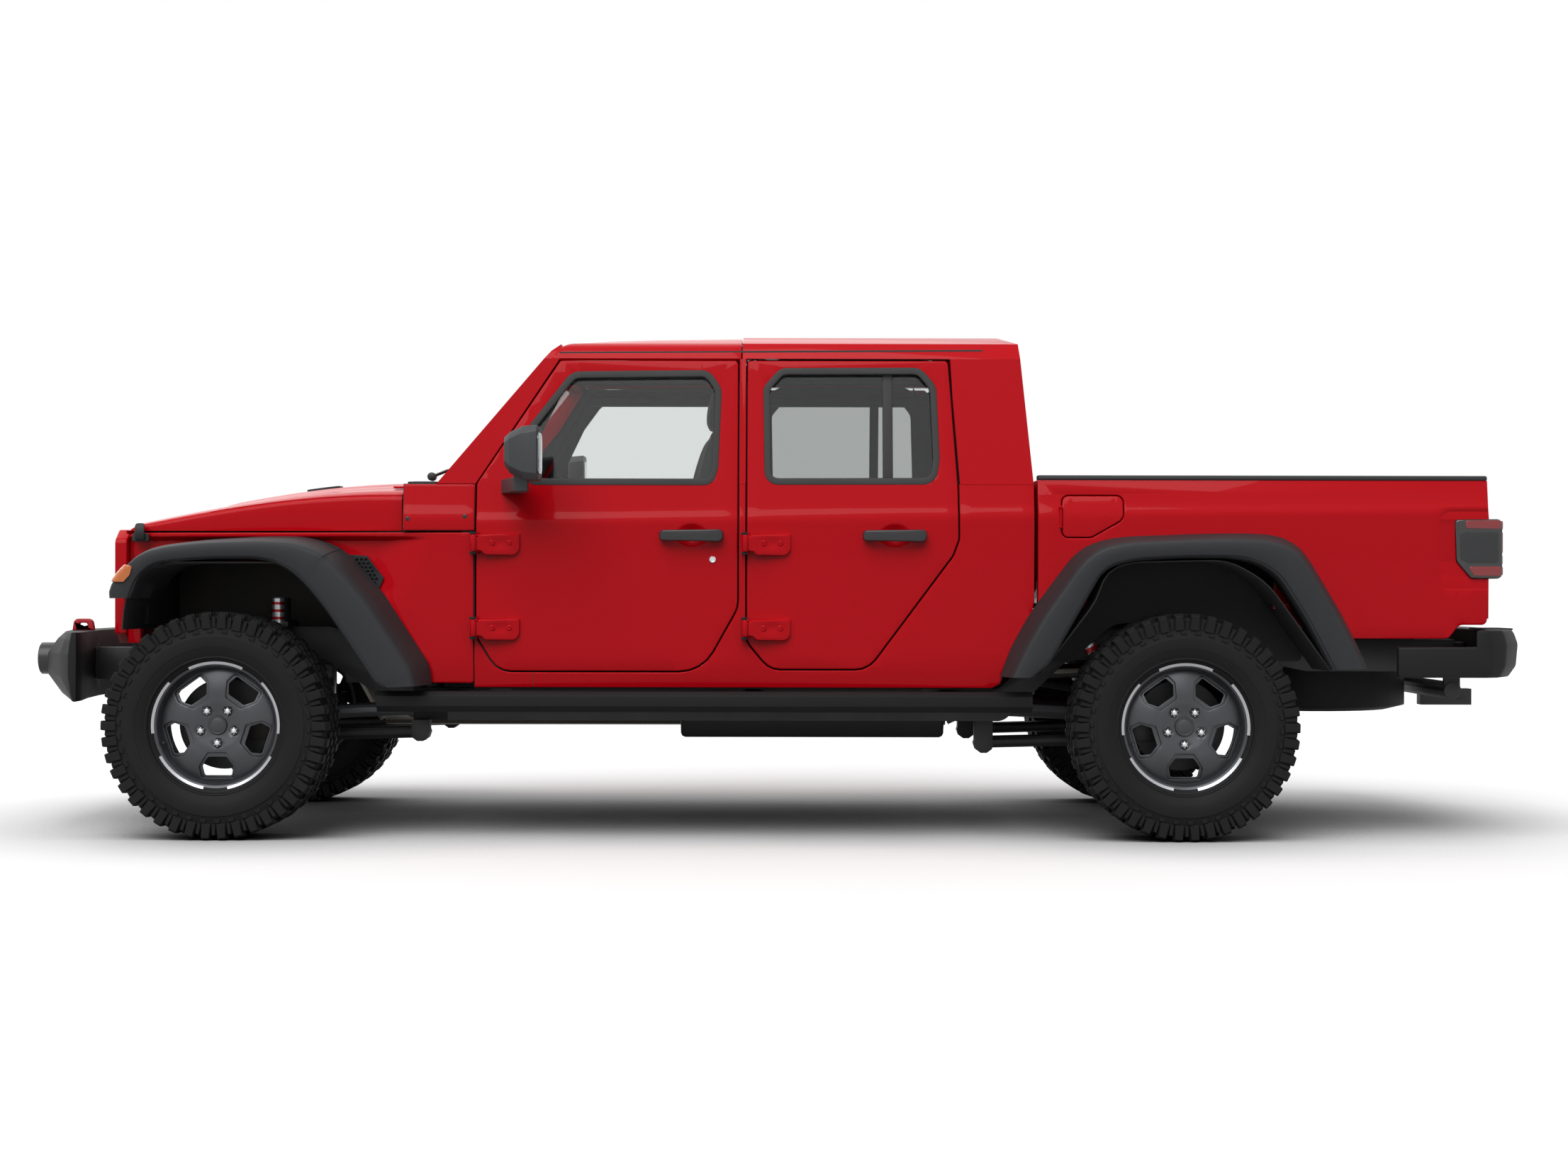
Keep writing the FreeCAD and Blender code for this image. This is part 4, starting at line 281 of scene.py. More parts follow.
TYRE_RADIUS = 0.41
PITCHES = 42
tyre_rubber = grained("vulcanised_rubber", "tyre", "#111112", "#1B1B1C", 0.62, 0.004, 0.0006, Specular_IOR_Level=0.18)
section = [(0.09, 0.217), (0.104, 0.225), (0.1115, 0.234), (0.115, 0.24), (0.1235, 0.244), (0.125, 0.2475),
    (0.124, 0.251), (0.13, 0.262), (0.1365, 0.28), (0.1372, 0.283), (0.1385, 0.2835), (0.1392, 0.286), (0.141, 0.305),
    (0.1405, 0.323), (0.1392, 0.325), (0.138, 0.3255), (0.135, 0.342), (0.1315, 0.36), (0.126, 0.378),
    (0.118, 0.3915), (0.095, 0.3965), (0.05, 0.3985)]
tyre_bm = spun(section + [(-y, r) for y, r in reversed(section)], 3 * PITCHES)
block_bm = bmesh.new()
pitch = 2 * math.pi / PITCHES
arc = TYRE_RADIUS * pitch
for side in (-1, 1):
    moved = [(lug(block_bm, (side * 0.078, 0.385), (side * 0.1255, 0.4095), arc * 0.6, 0.1, turn=0.1), 0.0),
        (lug(block_bm, (side * 0.119, 0.35), (side * 0.1395, 0.4035), arc * 0.56, 0.16, lean=side * 0.1), 0.0),
        (lug(block_bm, (side * 0.118, 0.352), (side * 0.135, 0.392), arc * 0.26, 0.1, lean=side * 0.1), 0.5),
        (lug(block_bm, (side * 0.13, 0.334), (side * 0.14, 0.349), arc * 0.4, 0.2, lean=side * 0.05), 0.25),
        (lug(block_bm, (side * 0.04, 0.39), (side * 0.0725, 0.4095), arc * 0.52, 0.1, turn=-side * 0.5), 0.5),
        (lug(block_bm, (side * 0.006, 0.39), (side * 0.037, 0.4095), arc * 0.5, 0.1, turn=side * 0.6), 0.05)]
    for verts, share in moved:
        offset_share = share + (0.5 if side > 0 else 0)
        rotate(block_bm, verts, offset_share * pitch, "Y")
spin(block_bm, block_bm.verts[:] + block_bm.edges[:] + block_bm.faces[:], 2 * math.pi * (PITCHES - 1) / PITCHES,
    PITCHES - 1, use_duplicate=True)
face_out(block_bm)
on_each_wheel("tyre_rubber", join(tyre_bm, block_bm), tyre_rubber, "tyre", 28)

# Rims: cast aluminium in five wide spokes, painted dark grey, with machined arcs at the flange.
# The face is one pressed outline with five windows; barrel, disc and hub are turned.
ARC_STEP = 0.3
MITRE_LIMIT = 0.35    # keeps a moved corner near its place where it is very sharp


def rounded(corners):
    """A closed outline; each corner is (a, b) or (a, b, radius) and is drawn as an arc."""
    result = []
    for i, here in enumerate(corners):
        spot = Vector(here[:2])
        if len(here) < 3 or not here[2]:
            result.append(spot)
            continue
        before = Vector(corners[i - 1][:2]) - spot
        after = Vector(corners[(i + 1) % len(corners)][:2]) - spot
        one, two = before.normalized(), after.normalized()
        half = one.angle(two) / 2
        reach = min(here[2] / math.tan(half), before.length * 0.48, after.length * 0.48)
        radius = reach * math.tan(half)
        centre = spot + (one + two).normalized() * (radius / math.sin(half))
        start = spot + one * reach - centre
        sweep = (spot + two * reach - centre).angle_signed(start)
        count = max(2, round(abs(sweep) / ARC_STEP))
        for k in range(count + 1):
            turn = sweep * k / count
            result.append(centre + Matrix.Rotation(turn, 2) @ start)
    return result


def plate(low_a, high_a, low_b, high_b, radius=0.0):
    """A rectangle's outline with rounded corners."""
    return rounded([(low_a, low_b, radius), (high_a, low_b, radius), (high_a, high_b, radius),
        (low_a, high_b, radius)])


def offset(points, gap):
    """A closed outline moved outwards by the gap, or inwards where it is negative."""
    count = len(points)
    area = sum(points[i - 1].x * points[i].y - points[i].x * points[i - 1].y for i in range(count))
    sign = 1 if area > 0 else -1
    result = []
    for i, here in enumerate(points):
        one = (here - points[i - 1]).normalized()
        two = (points[(i + 1) % count] - here).normalized()
        out_one = Vector((one.y, -one.x)) * sign
        out_two = Vector((two.y, -two.x)) * sign
        middle = (out_one + out_two).normalized()
        result.append(here + middle * gap / max(middle.dot(out_one), MITRE_LIMIT))
    return result


def pressed(outer, holes, thick, roll, step, place, rings=3, extra=()):
    """A sheet with rolled edges: an outline with holes is filled, gridded, rolled and closed.

    place turns (a, b, depth) into the piece's own frame; extra lists more (axis, value) grid lines.
    """
    bm = bmesh.new()
    for loop in [offset(outer, -roll)] + [offset(hole, roll) for hole in holes]:
        spots = [bm.verts.new((p.x, 0, p.y)) for p in loop]
        for pair in zip(spots, spots[1:] + spots[:1]):
            bm.edges.new(pair)
    bmesh.ops.triangle_fill(bm, edges=bm.edges[:], use_beauty=True)
    lines = list(extra)
    for axis in (0, 2):
        low = min(v.co[axis] for v in bm.verts)
        high = max(v.co[axis] for v in bm.verts)
        count = max(1, round((high - low) / step))
        lines += [(axis, low + (high - low) * k / count) for k in range(1, count)]
    for axis, value in lines:
        normal = (1, 0, 0) if axis == 0 else (0, 0, 1)
        bmesh.ops.bisect_plane(bm, geom=bm.verts[:] + bm.edges[:] + bm.faces[:], dist=1e-6,
            plane_co=[value * c for c in normal], plane_no=normal)
    back = bmesh.ops.duplicate(bm, geom=bm.faces[:])["geom"]
    back_verts = set(vertices(back))
    rim = [e for e in bm.edges if e.is_boundary and e.verts[0] not in back_verts]
    away = {}
    for e in rim:
        face = e.link_faces[0]
        run = (e.verts[1].co - e.verts[0].co).normalized()
        out = Vector((run.z, 0, -run.x))
        third = next(v for v in face.verts if v not in e.verts)
        if out.dot(third.co - e.verts[0].co) > 0:
            out.negate()
        for v in e.verts:
            away.setdefault(v, []).append(out)
    flat = {}
    for v, outs in away.items():
        total = sum(outs, Vector()).normalized()
        flat[v] = (v.co.copy(), total / max(total.dot(outs[0]), MITRE_LIMIT))
    steps = [(roll * math.sin(a), roll * (1 - math.cos(a))) for a in (math.pi / 2 * k / rings for k in range(1,
        rings + 1))]
    steps += [(roll, thick - roll * 0.5), (roll * 0.5, thick), (0, thick)]
    for out_by, depth in steps:
        grown = bmesh.ops.extrude_edge_only(bm, edges=rim)["geom"]
        rim = [g for g in grown if isinstance(g, bmesh.types.BMEdge) and g.is_boundary]
        fresh = {}
        for v in vertices(grown):
            for e in v.link_edges:
                root = e.other_vert(v)
                if root in flat:
                    base, out = flat[root]
                    fresh[v] = (base, out)
                    v.co = base + out * out_by
                    v.co.y = depth
        flat = fresh
    for v in back_verts:
        v.co.y = thick
    bmesh.ops.remove_doubles(bm, verts=bm.verts, dist=1e-6)
    for v in bm.verts:
        v.co = place(v.co.x, v.co.z, v.co.y)
    face_out(bm)
    return bm


FACE_OUT = 0.083
SPOKE_THICK = 0.024
NUT_CIRCLE = 0.0635
WINDOW_TURNS = [math.radians(54 + 72 * i) for i in range(5)]
rim_paint = grained("cast_alloy_dark_paint", "rim_grey", "#434447", "#4D4E51", 0.38, 0.0015, 0.0001, 0.55)
machined = finish("machined_alloy", "rim_grey", "#A9AAAD", 0.34, 1.0)
chrome = finish("chromed_steel", "steel", "#D2D2D3", 0.1, 1.0)
disc_iron = grained("cast_iron_disc", "iron", "#303032", "#262628", 0.5, 0.002, 0.0002, 0.5)


def face_depth(r, turn, near_nut):
    """How far the wheel's face stands behind its outermost plane."""
    bowl = 0.016 * max(0.0, 1 - r / 0.085)
    fall = 0.02 * max(0.0, (r - 0.12) / 0.085) ** 1.6
    spoke = 0.006 * (0.5 + 0.5 * math.cos(5 * (turn - math.pi / 2))) * clamped((r - 0.05) / 0.07)
    pocket = 0.012 * max(0.0, 1 - (near_nut / 0.017) ** 4) if near_nut < 0.017 else 0.0
    return bowl + fall - spoke + pocket + 0.006


def face_place(a, b, depth):
    r = math.hypot(a, b)
    turn = math.atan2(b, a)
    nuts = [Vector((math.cos(t), math.sin(t))) * NUT_CIRCLE for t in WINDOW_TURNS]
    near = min((Vector((a, b)) - n).length for n in nuts)
    share = 1 - min(1.0, depth / SPOKE_THICK)
    return Vector((a, -(FACE_OUT + 0.003) + face_depth(r, turn, near) * (0.4 + 0.6 * share) + depth, b))


POCKET = [(0.098, -0.034, 0.01), (0.15, -0.066, 0.014), (0.19, -0.06, 0.01), (0.19, 0.06, 0.01), (0.15, 0.066, 0.014),
    (0.098, 0.034, 0.01)]
WINDOW = [(0.114, -0.033, 0.008), (0.146, -0.056, 0.01), (0.181, -0.049, 0.008), (0.181, 0.049, 0.008),
    (0.146, 0.056, 0.01), (0.114, 0.033, 0.008)]
POCKET_DEPTH = 0.008


def turned_outline(corners, t):
    """A rounded outline turned about the wheel's centre."""
    return rounded([(a * math.cos(t) - b * math.sin(t), a * math.sin(t) + b * math.cos(t), radius)
        for a, b, radius in corners])


circle = [Vector((0.207 * math.cos(2 * math.pi * k / 90), 0.207 * math.sin(2 * math.pi * k / 90))) for k in range(90)]
face_bm = pressed(circle, [turned_outline(POCKET, t) for t in WINDOW_TURNS], SPOKE_THICK, 0.003, 0.0075, face_place,
    rings=2)
for t in WINDOW_TURNS:
    tray = pressed(offset(turned_outline(POCKET, t), 0.002), [turned_outline(WINDOW, t)], 0.01, 0.002, 0.0075,
        lambda a, b, depth: face_place(a, b, 0) + Vector((0, POCKET_DEPTH + depth, 0)), rings=2)
    face_bm = join(face_bm, tray)
barrel_bm = spun([(-0.063, 0.205), (-0.094, 0.212), (-0.101, 0.218), (-0.104, 0.228), (-0.108, 0.2335),
    (-0.1065, 0.234), (-0.1, 0.229), (-0.096, 0.219), (-0.06, 0.217), (0.06, 0.217), (0.096, 0.219), (0.1, 0.23),
    (0.108, 0.2335), (0.108, 0.228), (0.102, 0.215), (0.09, 0.208), (0.03, 0.205), (-0.03, 0.203), (-0.063, 0.205)],
    96)
lip_bm = spun([(-0.1066, 0.2316), (-0.1092, 0.233), (-0.1084, 0.2346), (-0.106, 0.234), (-0.1066, 0.2316)], 96)
for t in (math.pi / 2 + 2 * math.pi * i / 5 for i in range(5)):
    half_arc = math.radians(25)
    spots = [lip_bm.verts.new((r * math.cos(t - half_arc), y, r * math.sin(t - half_arc)))
        for y, r in ((-0.1045, 0.2215), (-0.106, 0.228), (-0.1088, 0.2326), (-0.1094, 0.2312), (-0.1076, 0.227),
        (-0.105, 0.2215))]
    edges = [lip_bm.edges.new(pair) for pair in zip(spots, spots[1:] + spots[:1])]
    ends = [lip_bm.faces.new(spots)]
    spin(lip_bm, spots + edges + ends, 2 * half_arc, 16, (0, -1, 0))
face_out(lip_bm)
disc_bm = spun([(0.059, 0.07), (0.059, 0.165), (0.0525, 0.1652), (0.0525, 0.16), (0.0485, 0.16), (0.0485, 0.1652),
    (0.042, 0.165), (0.042, 0.072), (0.04, 0.07), (-0.05, 0.066), (-0.056, 0.06), (-0.056, 0.0225), (0.059, 0.0225),
    (0.059, 0.07)], 64)
cap_bm = spun([(-0.06, 0.0345), (-0.0745, 0.034), (-0.0775, 0.032), (-0.078, 0.029), (-0.0765, 0.027),
    (-0.0775, 0.024), (-0.0795, 0.012), (-0.08, 0.0)], 48)
nut_bm = bmesh.new()
for t in WINDOW_TURNS:
    both = bmesh.ops.create_cone(nut_bm, cap_ends=True, segments=6, radius1=0.0135, radius2=0.013,
        depth=0.022)["verts"]
    dome = bmesh.ops.create_uvsphere(nut_bm, u_segments=12, v_segments=6, radius=0.0118)["verts"]
    bmesh.ops.scale(nut_bm, verts=dome, vec=(1, 1, 0.7))
    move(nut_bm, dome, (0, 0, 0.0105))
    both += dome
    rotate(nut_bm, both, math.pi / 2, "X")
    move(nut_bm, both, (NUT_CIRCLE * math.cos(t), -0.07, NUT_CIRCLE * math.sin(t)))
valve_bm = bmesh.new()
stem = bmesh.ops.create_cone(valve_bm, cap_ends=True, segments=10, radius1=0.0045, radius2=0.0035,
    depth=0.03)["verts"]
rotate(valve_bm, stem, math.pi / 2, "X")
move(valve_bm, stem, (0.198 * math.cos(WINDOW_TURNS[2]), -0.088, 0.198 * math.sin(WINDOW_TURNS[2])))
cap_plastic = grained("wheel_cap_plastic", "black_plastic", "#303134", "#3A3B3E", 0.42, 0.003, 0.0001)
on_each_wheel("wheel_face", join(face_bm, barrel_bm), rim_paint, "rim")
for layer, source, made in (("lip", lip_bm, machined), ("disc", disc_bm, disc_iron), ("cap", cap_bm, cap_plastic),
        ("nuts", nut_bm, chrome), ("valve", valve_bm, cap_plastic)):
    on_each_wheel(f"wheel_{layer}", source, made)

# Body side: pressed steel under red paint with a clear coat, so it is deep, smooth and glossy.
# One section gives the half-width at each height, with a soft crease that rises to the rear.
paint = finish("clearcoat_red_paint", "body_red", "#C20213", 0.4, Specular_IOR_Level=0.05, Coat_Weight=0.5,
    Coat_IOR=1.25, Coat_Roughness=0.03)
PEEL_SIZE = 0.012
peel = add(paint.node_tree, "ShaderNodeTexNoise",
    {"Vector": add(paint.node_tree, "ShaderNodeTexCoord").outputs["Object"], "Scale": 1 / PEEL_SIZE, "Detail": 1.0})
bumped(paint, peel.outputs["Fac"], 0.0001, 0.15)
seal_rubber = grained("epdm_seal_rubber", "black_plastic", "#151515", "#1D1D1D", 0.6, 0.003, 0.0002)
moulded = grained("moulded_black_plastic", "black_plastic", "#242527", "#2C2D30", 0.55, 0.0035, 0.0004,
    rough=(0.48, 0.62), Specular_IOR_Level=0.3)
black_gloss = grained("satin_black_plastic", "black_plastic", "#1A1B1D", "#202124", 0.36, 0.003, 0.0001)
# Dead black for the liners, pockets and radiator, and also for the sheets behind seams and vents that stand as
# painted shade.
black_liner_and_shade_sheet = grained("underbody_black", "black_plastic", "#0B0B0C", "#131314", 0.8, 0.01, 0.0005)


def smoothed(corners):
    """Sample an open line of (a, b, reach) corners, each rounded off over its reach, as (a, b) pairs."""
    result = [Vector(corners[0][:2])]
    for before, here, after in zip(corners, corners[1:], corners[2:]):
        spot = Vector(here[:2])
        start = spot + (Vector(before[:2]) - spot).normalized() * here[2]
        end = spot + (Vector(after[:2]) - spot).normalized() * here[2]
        for k in range(9):
            t = k / 8
            result.append(start * (1 - t) ** 2 + spot * (2 * t * (1 - t)) + end * t ** 2)
    result.append(Vector(corners[-1][:2]))
    return result


def read(line, a):
    """The line's second value where its first one is a; the first values rise."""
    keys = [p.x for p in line]
    i = min(max(bisect_left(keys, a), 1), len(line) - 1)
    one, two = line[i - 1], line[i]
    return one.y + (two.y - one.y) * (a - one.x) / max(two.x - one.x, 1e-9)


SIDE_SECTION = smoothed([(0.52, 0.7669), (0.632, 0.7845, 0.03), (1.165, 0.7925, 0.02), (1.203, 0.7815, 0.016),
    (1.292, 0.765, 0.012), (1.753, 0.685, 0.03), (1.9, 0.64)])
FENDER_PLAN = smoothed([(-0.42, 0.626), (-0.2, 0.668, 0.1), (0.2, 0.712, 0.15), (0.64, 0.78, 0.1),
    (0.868, 0.792, 0.1), (1.1, 0.792)])
CREASE_START, CREASE_RISE = 2.35, 0.0145
CREASE_HEIGHT, CREASE_REACH = 1.18, 0.11
FENDER_END = 0.868
SKIN_PROUD = 0.0015    # how far the skins in front of and behind the doors stand out


def side_at(x, z):
    """The body's half-width at a station and a height."""
    rise = (x - CREASE_START) * CREASE_RISE * max(0.0, 1 - abs(z - CREASE_HEIGHT) / CREASE_REACH)
    inset = read(FENDER_PLAN, 1.0) - read(FENDER_PLAN, x) if x < FENDER_END else 0
    return read(SIDE_SECTION, z - rise) - inset


def at(x, y, z):
    """A point from its station, its place across the car and its height."""
    return Vector((x + axle_x, y, z))


def on_side(proud=0.0):
    """A place on the left body side; a depth goes inwards from a surface that stands proud."""
    return lambda x, z, depth: at(x, depth - proud - side_at(x, z), z)


def flat_side(out):
    """A place on an upright plane along the left side, so far out from the middle."""
    return lambda x, z, depth: at(x, depth - out, z)


def flat_rear(back):
    """A place on an upright plane across the car, at a station behind the front axle."""
    return lambda y, z, depth: at(back - depth, -y, z)


def rows(axis, first, step, count):
    """Even grid lines for a pressing, across its first direction (0) or its second one (2)."""
    return [(axis, first + step * k) for k in range(count)]


def sided(name, bm, made, *stands_for, body="chassis", slot=None, crease=35):
    """A left piece and its mirror image; {} is l or r, and a node without it is the left one's."""
    other = bm.copy()
    bmesh.ops.scale(other, vec=(1, -1, 1), verts=other.verts)
    bmesh.ops.reverse_faces(other, faces=other.faces)
    for letter, one in (("l", bm), ("r", other)):
        nodes = [n.format(letter) for n in stands_for if letter == "l" or "{}" in n]
        piece(name.format(letter), one, made, *nodes, body=body.format(letter), slot=slot, crease=crease)


def bump_at(a, b):
    """A smooth hill, 1 in its middle and 0 beyond a distance of 1."""
    r = min(1.0, math.hypot(a, b))
    return (1 - r * r) ** 2


HANDLE_X = {"f": 1.706, "r": 2.446}
HANDLE_Z = 1.1
CUP_DEPTH = 0.016


def on_door(end):
    """The door's outer surface, with the cup behind its handle."""
    surface = on_side()

    def place(x, z, depth):
        spot = surface(x, z, depth)
        cup = CUP_DEPTH * bump_at((x - HANDLE_X[end]) / 0.062, (z - HANDLE_Z) / 0.05)
        spot.y += cup * (1 - min(1, depth / 0.018))
        return spot
    return place


FRONT_DOOR = rounded([(0.921, 0.736, 0.08), (1.0, 0.606, 0.085), (1.742, 0.606, 0.14), (1.872, 0.838, 0.09),
    (1.872, 1.745, 0.014), (1.218, 1.745, 0.016), (0.944, 1.324, 0.04), (0.921, 1.288, 0.02)])
REAR_DOOR = rounded([(1.907, 0.716, 0.06), (1.991, 0.614, 0.08), (2.347, 0.614, 0.09), (2.655, 1.028, 0.06),
    (2.677, 1.087, 0.05), (2.675, 1.274, 0.06), (2.653, 1.6, 0.05), (2.643, 1.745, 0.014), (1.907, 1.745, 0.012)])
FRONT_WINDOW = rounded([(1.104, 1.288, 0.03), (1.78, 1.288, 0.045), (1.797, 1.352, 0.03), (1.808, 1.64, 0.06),
    (1.764, 1.706, 0.05), (1.262, 1.7, 0.06), (1.108, 1.497, 0.04)])
REAR_WINDOW = rounded([(1.975, 1.29, 0.045), (2.592, 1.292, 0.05), (2.606, 1.38, 0.04), (2.596, 1.65, 0.06),
    (2.54, 1.716, 0.05), (2.028, 1.714, 0.05), (1.969, 1.645, 0.04)])
SKIN_THICK, DOOR_THICK = 0.018, 0.058
trim_plastic = grained("door_trim_plastic", "black_plastic", "#1D1E20", "#26272A", 0.62, 0.003, 0.0003)
for end, line, hole in (("f", FRONT_DOOR, FRONT_WINDOW), ("r", REAR_DOOR, REAR_WINDOW)):
    door = f"door_{end}{{}}"
    fine = rows(0, HANDLE_X[end] - 0.066, 0.006, 23) + rows(2, HANDLE_Z - 0.054, 0.006, 19) + rows(2, 1.13, 0.007, 25)
    skin = pressed(line, [hole], SKIN_THICK, 0.0035, 0.045, on_door(end), extra=fine)
    inner = pressed(offset(line, -0.016), [offset(hole, 0.004)], DOOR_THICK - SKIN_THICK - 0.012, 0.004, 0.08,
        on_side(0.002 - SKIN_THICK))
    sided(f"door_skin_{end}{{}}", join(skin, inner), paint, door, body=door)
    trim = pressed(offset(line, -0.055), [offset(hole, 0.03)], 0.016, 0.006, 0.08, on_side(0.016 - DOOR_THICK))
    sided(f"door_trim_{end}{{}}", trim, trim_plastic, body=door)
    seal = pressed(offset(hole, 0.005), [offset(hole, -0.02)], 0.03, 0.003, 0.2, on_side(0.002))
    sided(f"window_seal_{end}{{}}", seal, seal_rubber, body=door)
divider = pressed(plate(2.403, 2.44, 1.3, 1.712), [], 0.024, 0.003, 0.2, on_side(-0.014))
sided("window_divider_{}", divider, seal_rubber, body="door_r{}")


# Door handles: moulded bars, bowed slightly outwards, on two posts over a cup in the skin.
# The front doors have a chromed lock below the handle.
def box(bm, size, middle, width=0.0, segments=2):
    """Add a box round a (station, across, height) middle, with its edges rolled over by a width."""
    made = bmesh.ops.create_cube(bm, size=1)["verts"]
    bmesh.ops.scale(bm, verts=made, vec=size)
    move(bm, made, at(*middle))
    if width:
        bevelled(bm, edges_of(made), width, segments)
    return made


HANDLE_OUT, HANDLE_BOW, HANDLE_HALF = 0.834, 0.012, 0.118
for end, middle in HANDLE_X.items():
    bar = pressed(rounded([(middle - HANDLE_HALF, HANDLE_Z - 0.019, 0.014), (middle + 0.112, HANDLE_Z - 0.023, 0.018),
        (middle + HANDLE_HALF, HANDLE_Z + 0.022, 0.018), (middle - HANDLE_HALF, HANDLE_Z + 0.019, 0.016)]), [], 0.016,
        0.006, 0.02, lambda x, z, depth: at(x, depth - HANDLE_OUT + HANDLE_BOW * abs((x - middle) / HANDLE_HALF) ** 3,
        z))
    for x, half in ((middle - 0.098, 0.016), (middle + 0.09, 0.024)):
        box(bar, (half * 2, 0.038, 0.036), (x, -0.803, HANDLE_Z), 0.006)
    sided(f"door_handle_{end}{{}}", bar, black_gloss, body=f"door_{end}{{}}")
TO_FRONT, UPRIGHT = "Z", "X"    # the axis that a round part is turned about to stand that way


def turned(bm, spot, profile, steps=20, way=None):
    """Add a round part from its (outwards, radius) profile; it stands out to the left without a way."""
    own = spun([(out if way else -out, r) for out, r in profile], steps)
    if way:
        rotate(own, own.verts, math.pi / 2, way)
    move(own, own.verts, at(*spot))
    return join(bm, own)


LOCK_X, LOCK_Z = 1.782, 1.012
lock = turned(bmesh.new(), (LOCK_X, -side_at(LOCK_X, LOCK_Z), LOCK_Z), [(-0.004, 0.0), (-0.004, 0.0125),
    (0.0025, 0.0125), (0.004, 0.011), (0.004, 0.008), (0.0025, 0.007), (0.003, 0.0)])
sided("door_lock_{}", lock, chrome, body="door_f{}")

# Hinges: cast straps outside the doors, painted with the body.
# Each has two bolts, and a barrel on the hinge's line.
HINGE_Y, HINGE_HEIGHTS = 0.824, (0.762, 1.071)
HINGE_STATIONS = {"f": 0.915, "r": 1.901}
HINGE_BARREL = [(-0.03, 0.0054), (-0.03, 0.0105), (-0.028, 0.0115), (0.028, 0.0115), (0.03, 0.0105), (0.03, 0.0054)]
STRAP_LINE = rounded([(0.004, -0.03, 0.004), (0.03, -0.03, 0.01), (0.04, -0.044, 0.014), (0.15, -0.046, 0.026),
    (0.166, -0.024, 0.02), (0.166, 0.036, 0.02), (0.146, 0.046, 0.02), (0.03, 0.046, 0.012), (0.022, 0.03, 0.01),
    (0.004, 0.03, 0.004)])
BOLT_HEAD = [(-0.004, 0.0), (-0.004, 0.0115), (0.001, 0.0115), (0.004, 0.0095), (0.005, 0.006), (0.0025, 0.005),
    (0.0025, 0.0)]


def strap_out(x, z, along):
    """How far out the strap lies, as it falls from the barrel to the door's skin."""
    share = max(0.0, (along - 0.018) / 0.15)
    return HINGE_Y * (1 - share) + (side_at(x, z) + 0.012) * share


for end, x0 in HINGE_STATIONS.items():
    hinge_bm, bolts = bmesh.new(), bmesh.new()
    for z0 in HINGE_HEIGHTS:
        strap = pressed(STRAP_LINE, [], 0.02, 0.005, 0.012,
            lambda a, b, depth: at(x0 + a, depth - strap_out(x0 + a, z0 + b, a) + 0.005 * bump_at((a - 0.094) / 0.062,
            b / 0.03), z0 + b))
        hinge_bm = turned(join(hinge_bm, strap), (x0, -HINGE_Y, z0), HINGE_BARREL, way=UPRIGHT)
        for a in (0.066, 0.128):
            bolts = turned(bolts, (x0 + a, 0.004 - strap_out(x0 + a, z0, a), z0), BOLT_HEAD, 12)
    for name, bm in (("door_hinge", hinge_bm), ("hinge_bolts", bolts)):
        sided(f"{name}_{end}{{}}", bm, paint, body=f"door_{end}{{}}")


# Body-side aperture: one pressing round both doors, from the cowl to the cab's rear corner.
# Rubber seals stand behind the seams, so that no light comes through them.
def closed(bm):
    """Fill a mesh's open ends, and turn its faces outwards."""
    bmesh.ops.holes_fill(bm, edges=[e for e in bm.edges if e.is_boundary], sides=0)
    face_out(bm)
    return bm


WAIST, COWL_END = 1.2868, 0.9155
aperture_line = rounded([(0.8705, 0.545), (2.8, 0.545), (2.83, 0.56), (2.945, 0.82, 0.03), (2.9535, 0.86),
    (2.9535, 1.8), (0.8705, 1.8)])
aperture = pressed(aperture_line, [offset(FRONT_DOOR, 0.006), offset(REAR_DOOR, 0.006)], 0.046, 0.003, 0.045,
    on_side(SKIN_PROUD), extra=rows(2, 1.13, 0.007, 22))
for spot, way in (((0, 0, WAIST), (0, 0, 1)), (at(COWL_END, 0, 0), (-1, 0, 0))):
    bmesh.ops.bisect_plane(aperture, geom=aperture.verts[:] + aperture.edges[:] + aperture.faces[:], plane_co=spot,
        plane_no=way, clear_outer=True, dist=1e-6)
    closed(aperture)
sided("aperture_skin_{}", aperture, paint)
door_seals = join(*[pressed(offset(line, 0.012), [offset(line, -0.03)], 0.004, 0.001, 0.1, on_side(-0.061))
    for line in (FRONT_DOOR, REAR_DOOR)])
sided("door_seal_{}", door_seals, seal_rubber)

# Front fenders: pressings behind the wheels, with the lamp panel's return and an arch cut out.
# A radiator core with fins stands between them, behind the grille.
fender_line = rounded([(0.9115, 0.56, 0.01), (0.9115, 1.109, 0.006), (-0.388, 1.109, 0.03), (-0.388, 0.7, 0.01),
    (-0.338, 0.7, 0.01), (-0.338, 0.858, 0.03), (-0.27, 0.988, 0.04), (-0.2, 1.004, 0.03), (0.25, 1.004, 0.05),
    (0.33, 0.94, 0.05), (0.44, 0.8, 0.05), (0.6, 0.56, 0.01)])
SCOOP_DEPTH, SCOOP_TOP = 0.034, 1.096


def on_fender(x, z, depth):
    """The fender's outer surface, hollowed towards the vent behind the flare."""
    spot = on_side(SKIN_PROUD)(x, z, depth)
    edge = 0.757 - (SCOOP_TOP - z) * 0.4
    share = clamped((edge - x) / 0.175) * clamped((SCOOP_TOP - z) / 0.014)
    hollow = SCOOP_DEPTH * share ** 1.2 * clamped((z - 0.835) / 0.065) ** 0.6
    spot.y += hollow * (1 - min(1, depth / 0.04))
    return spot


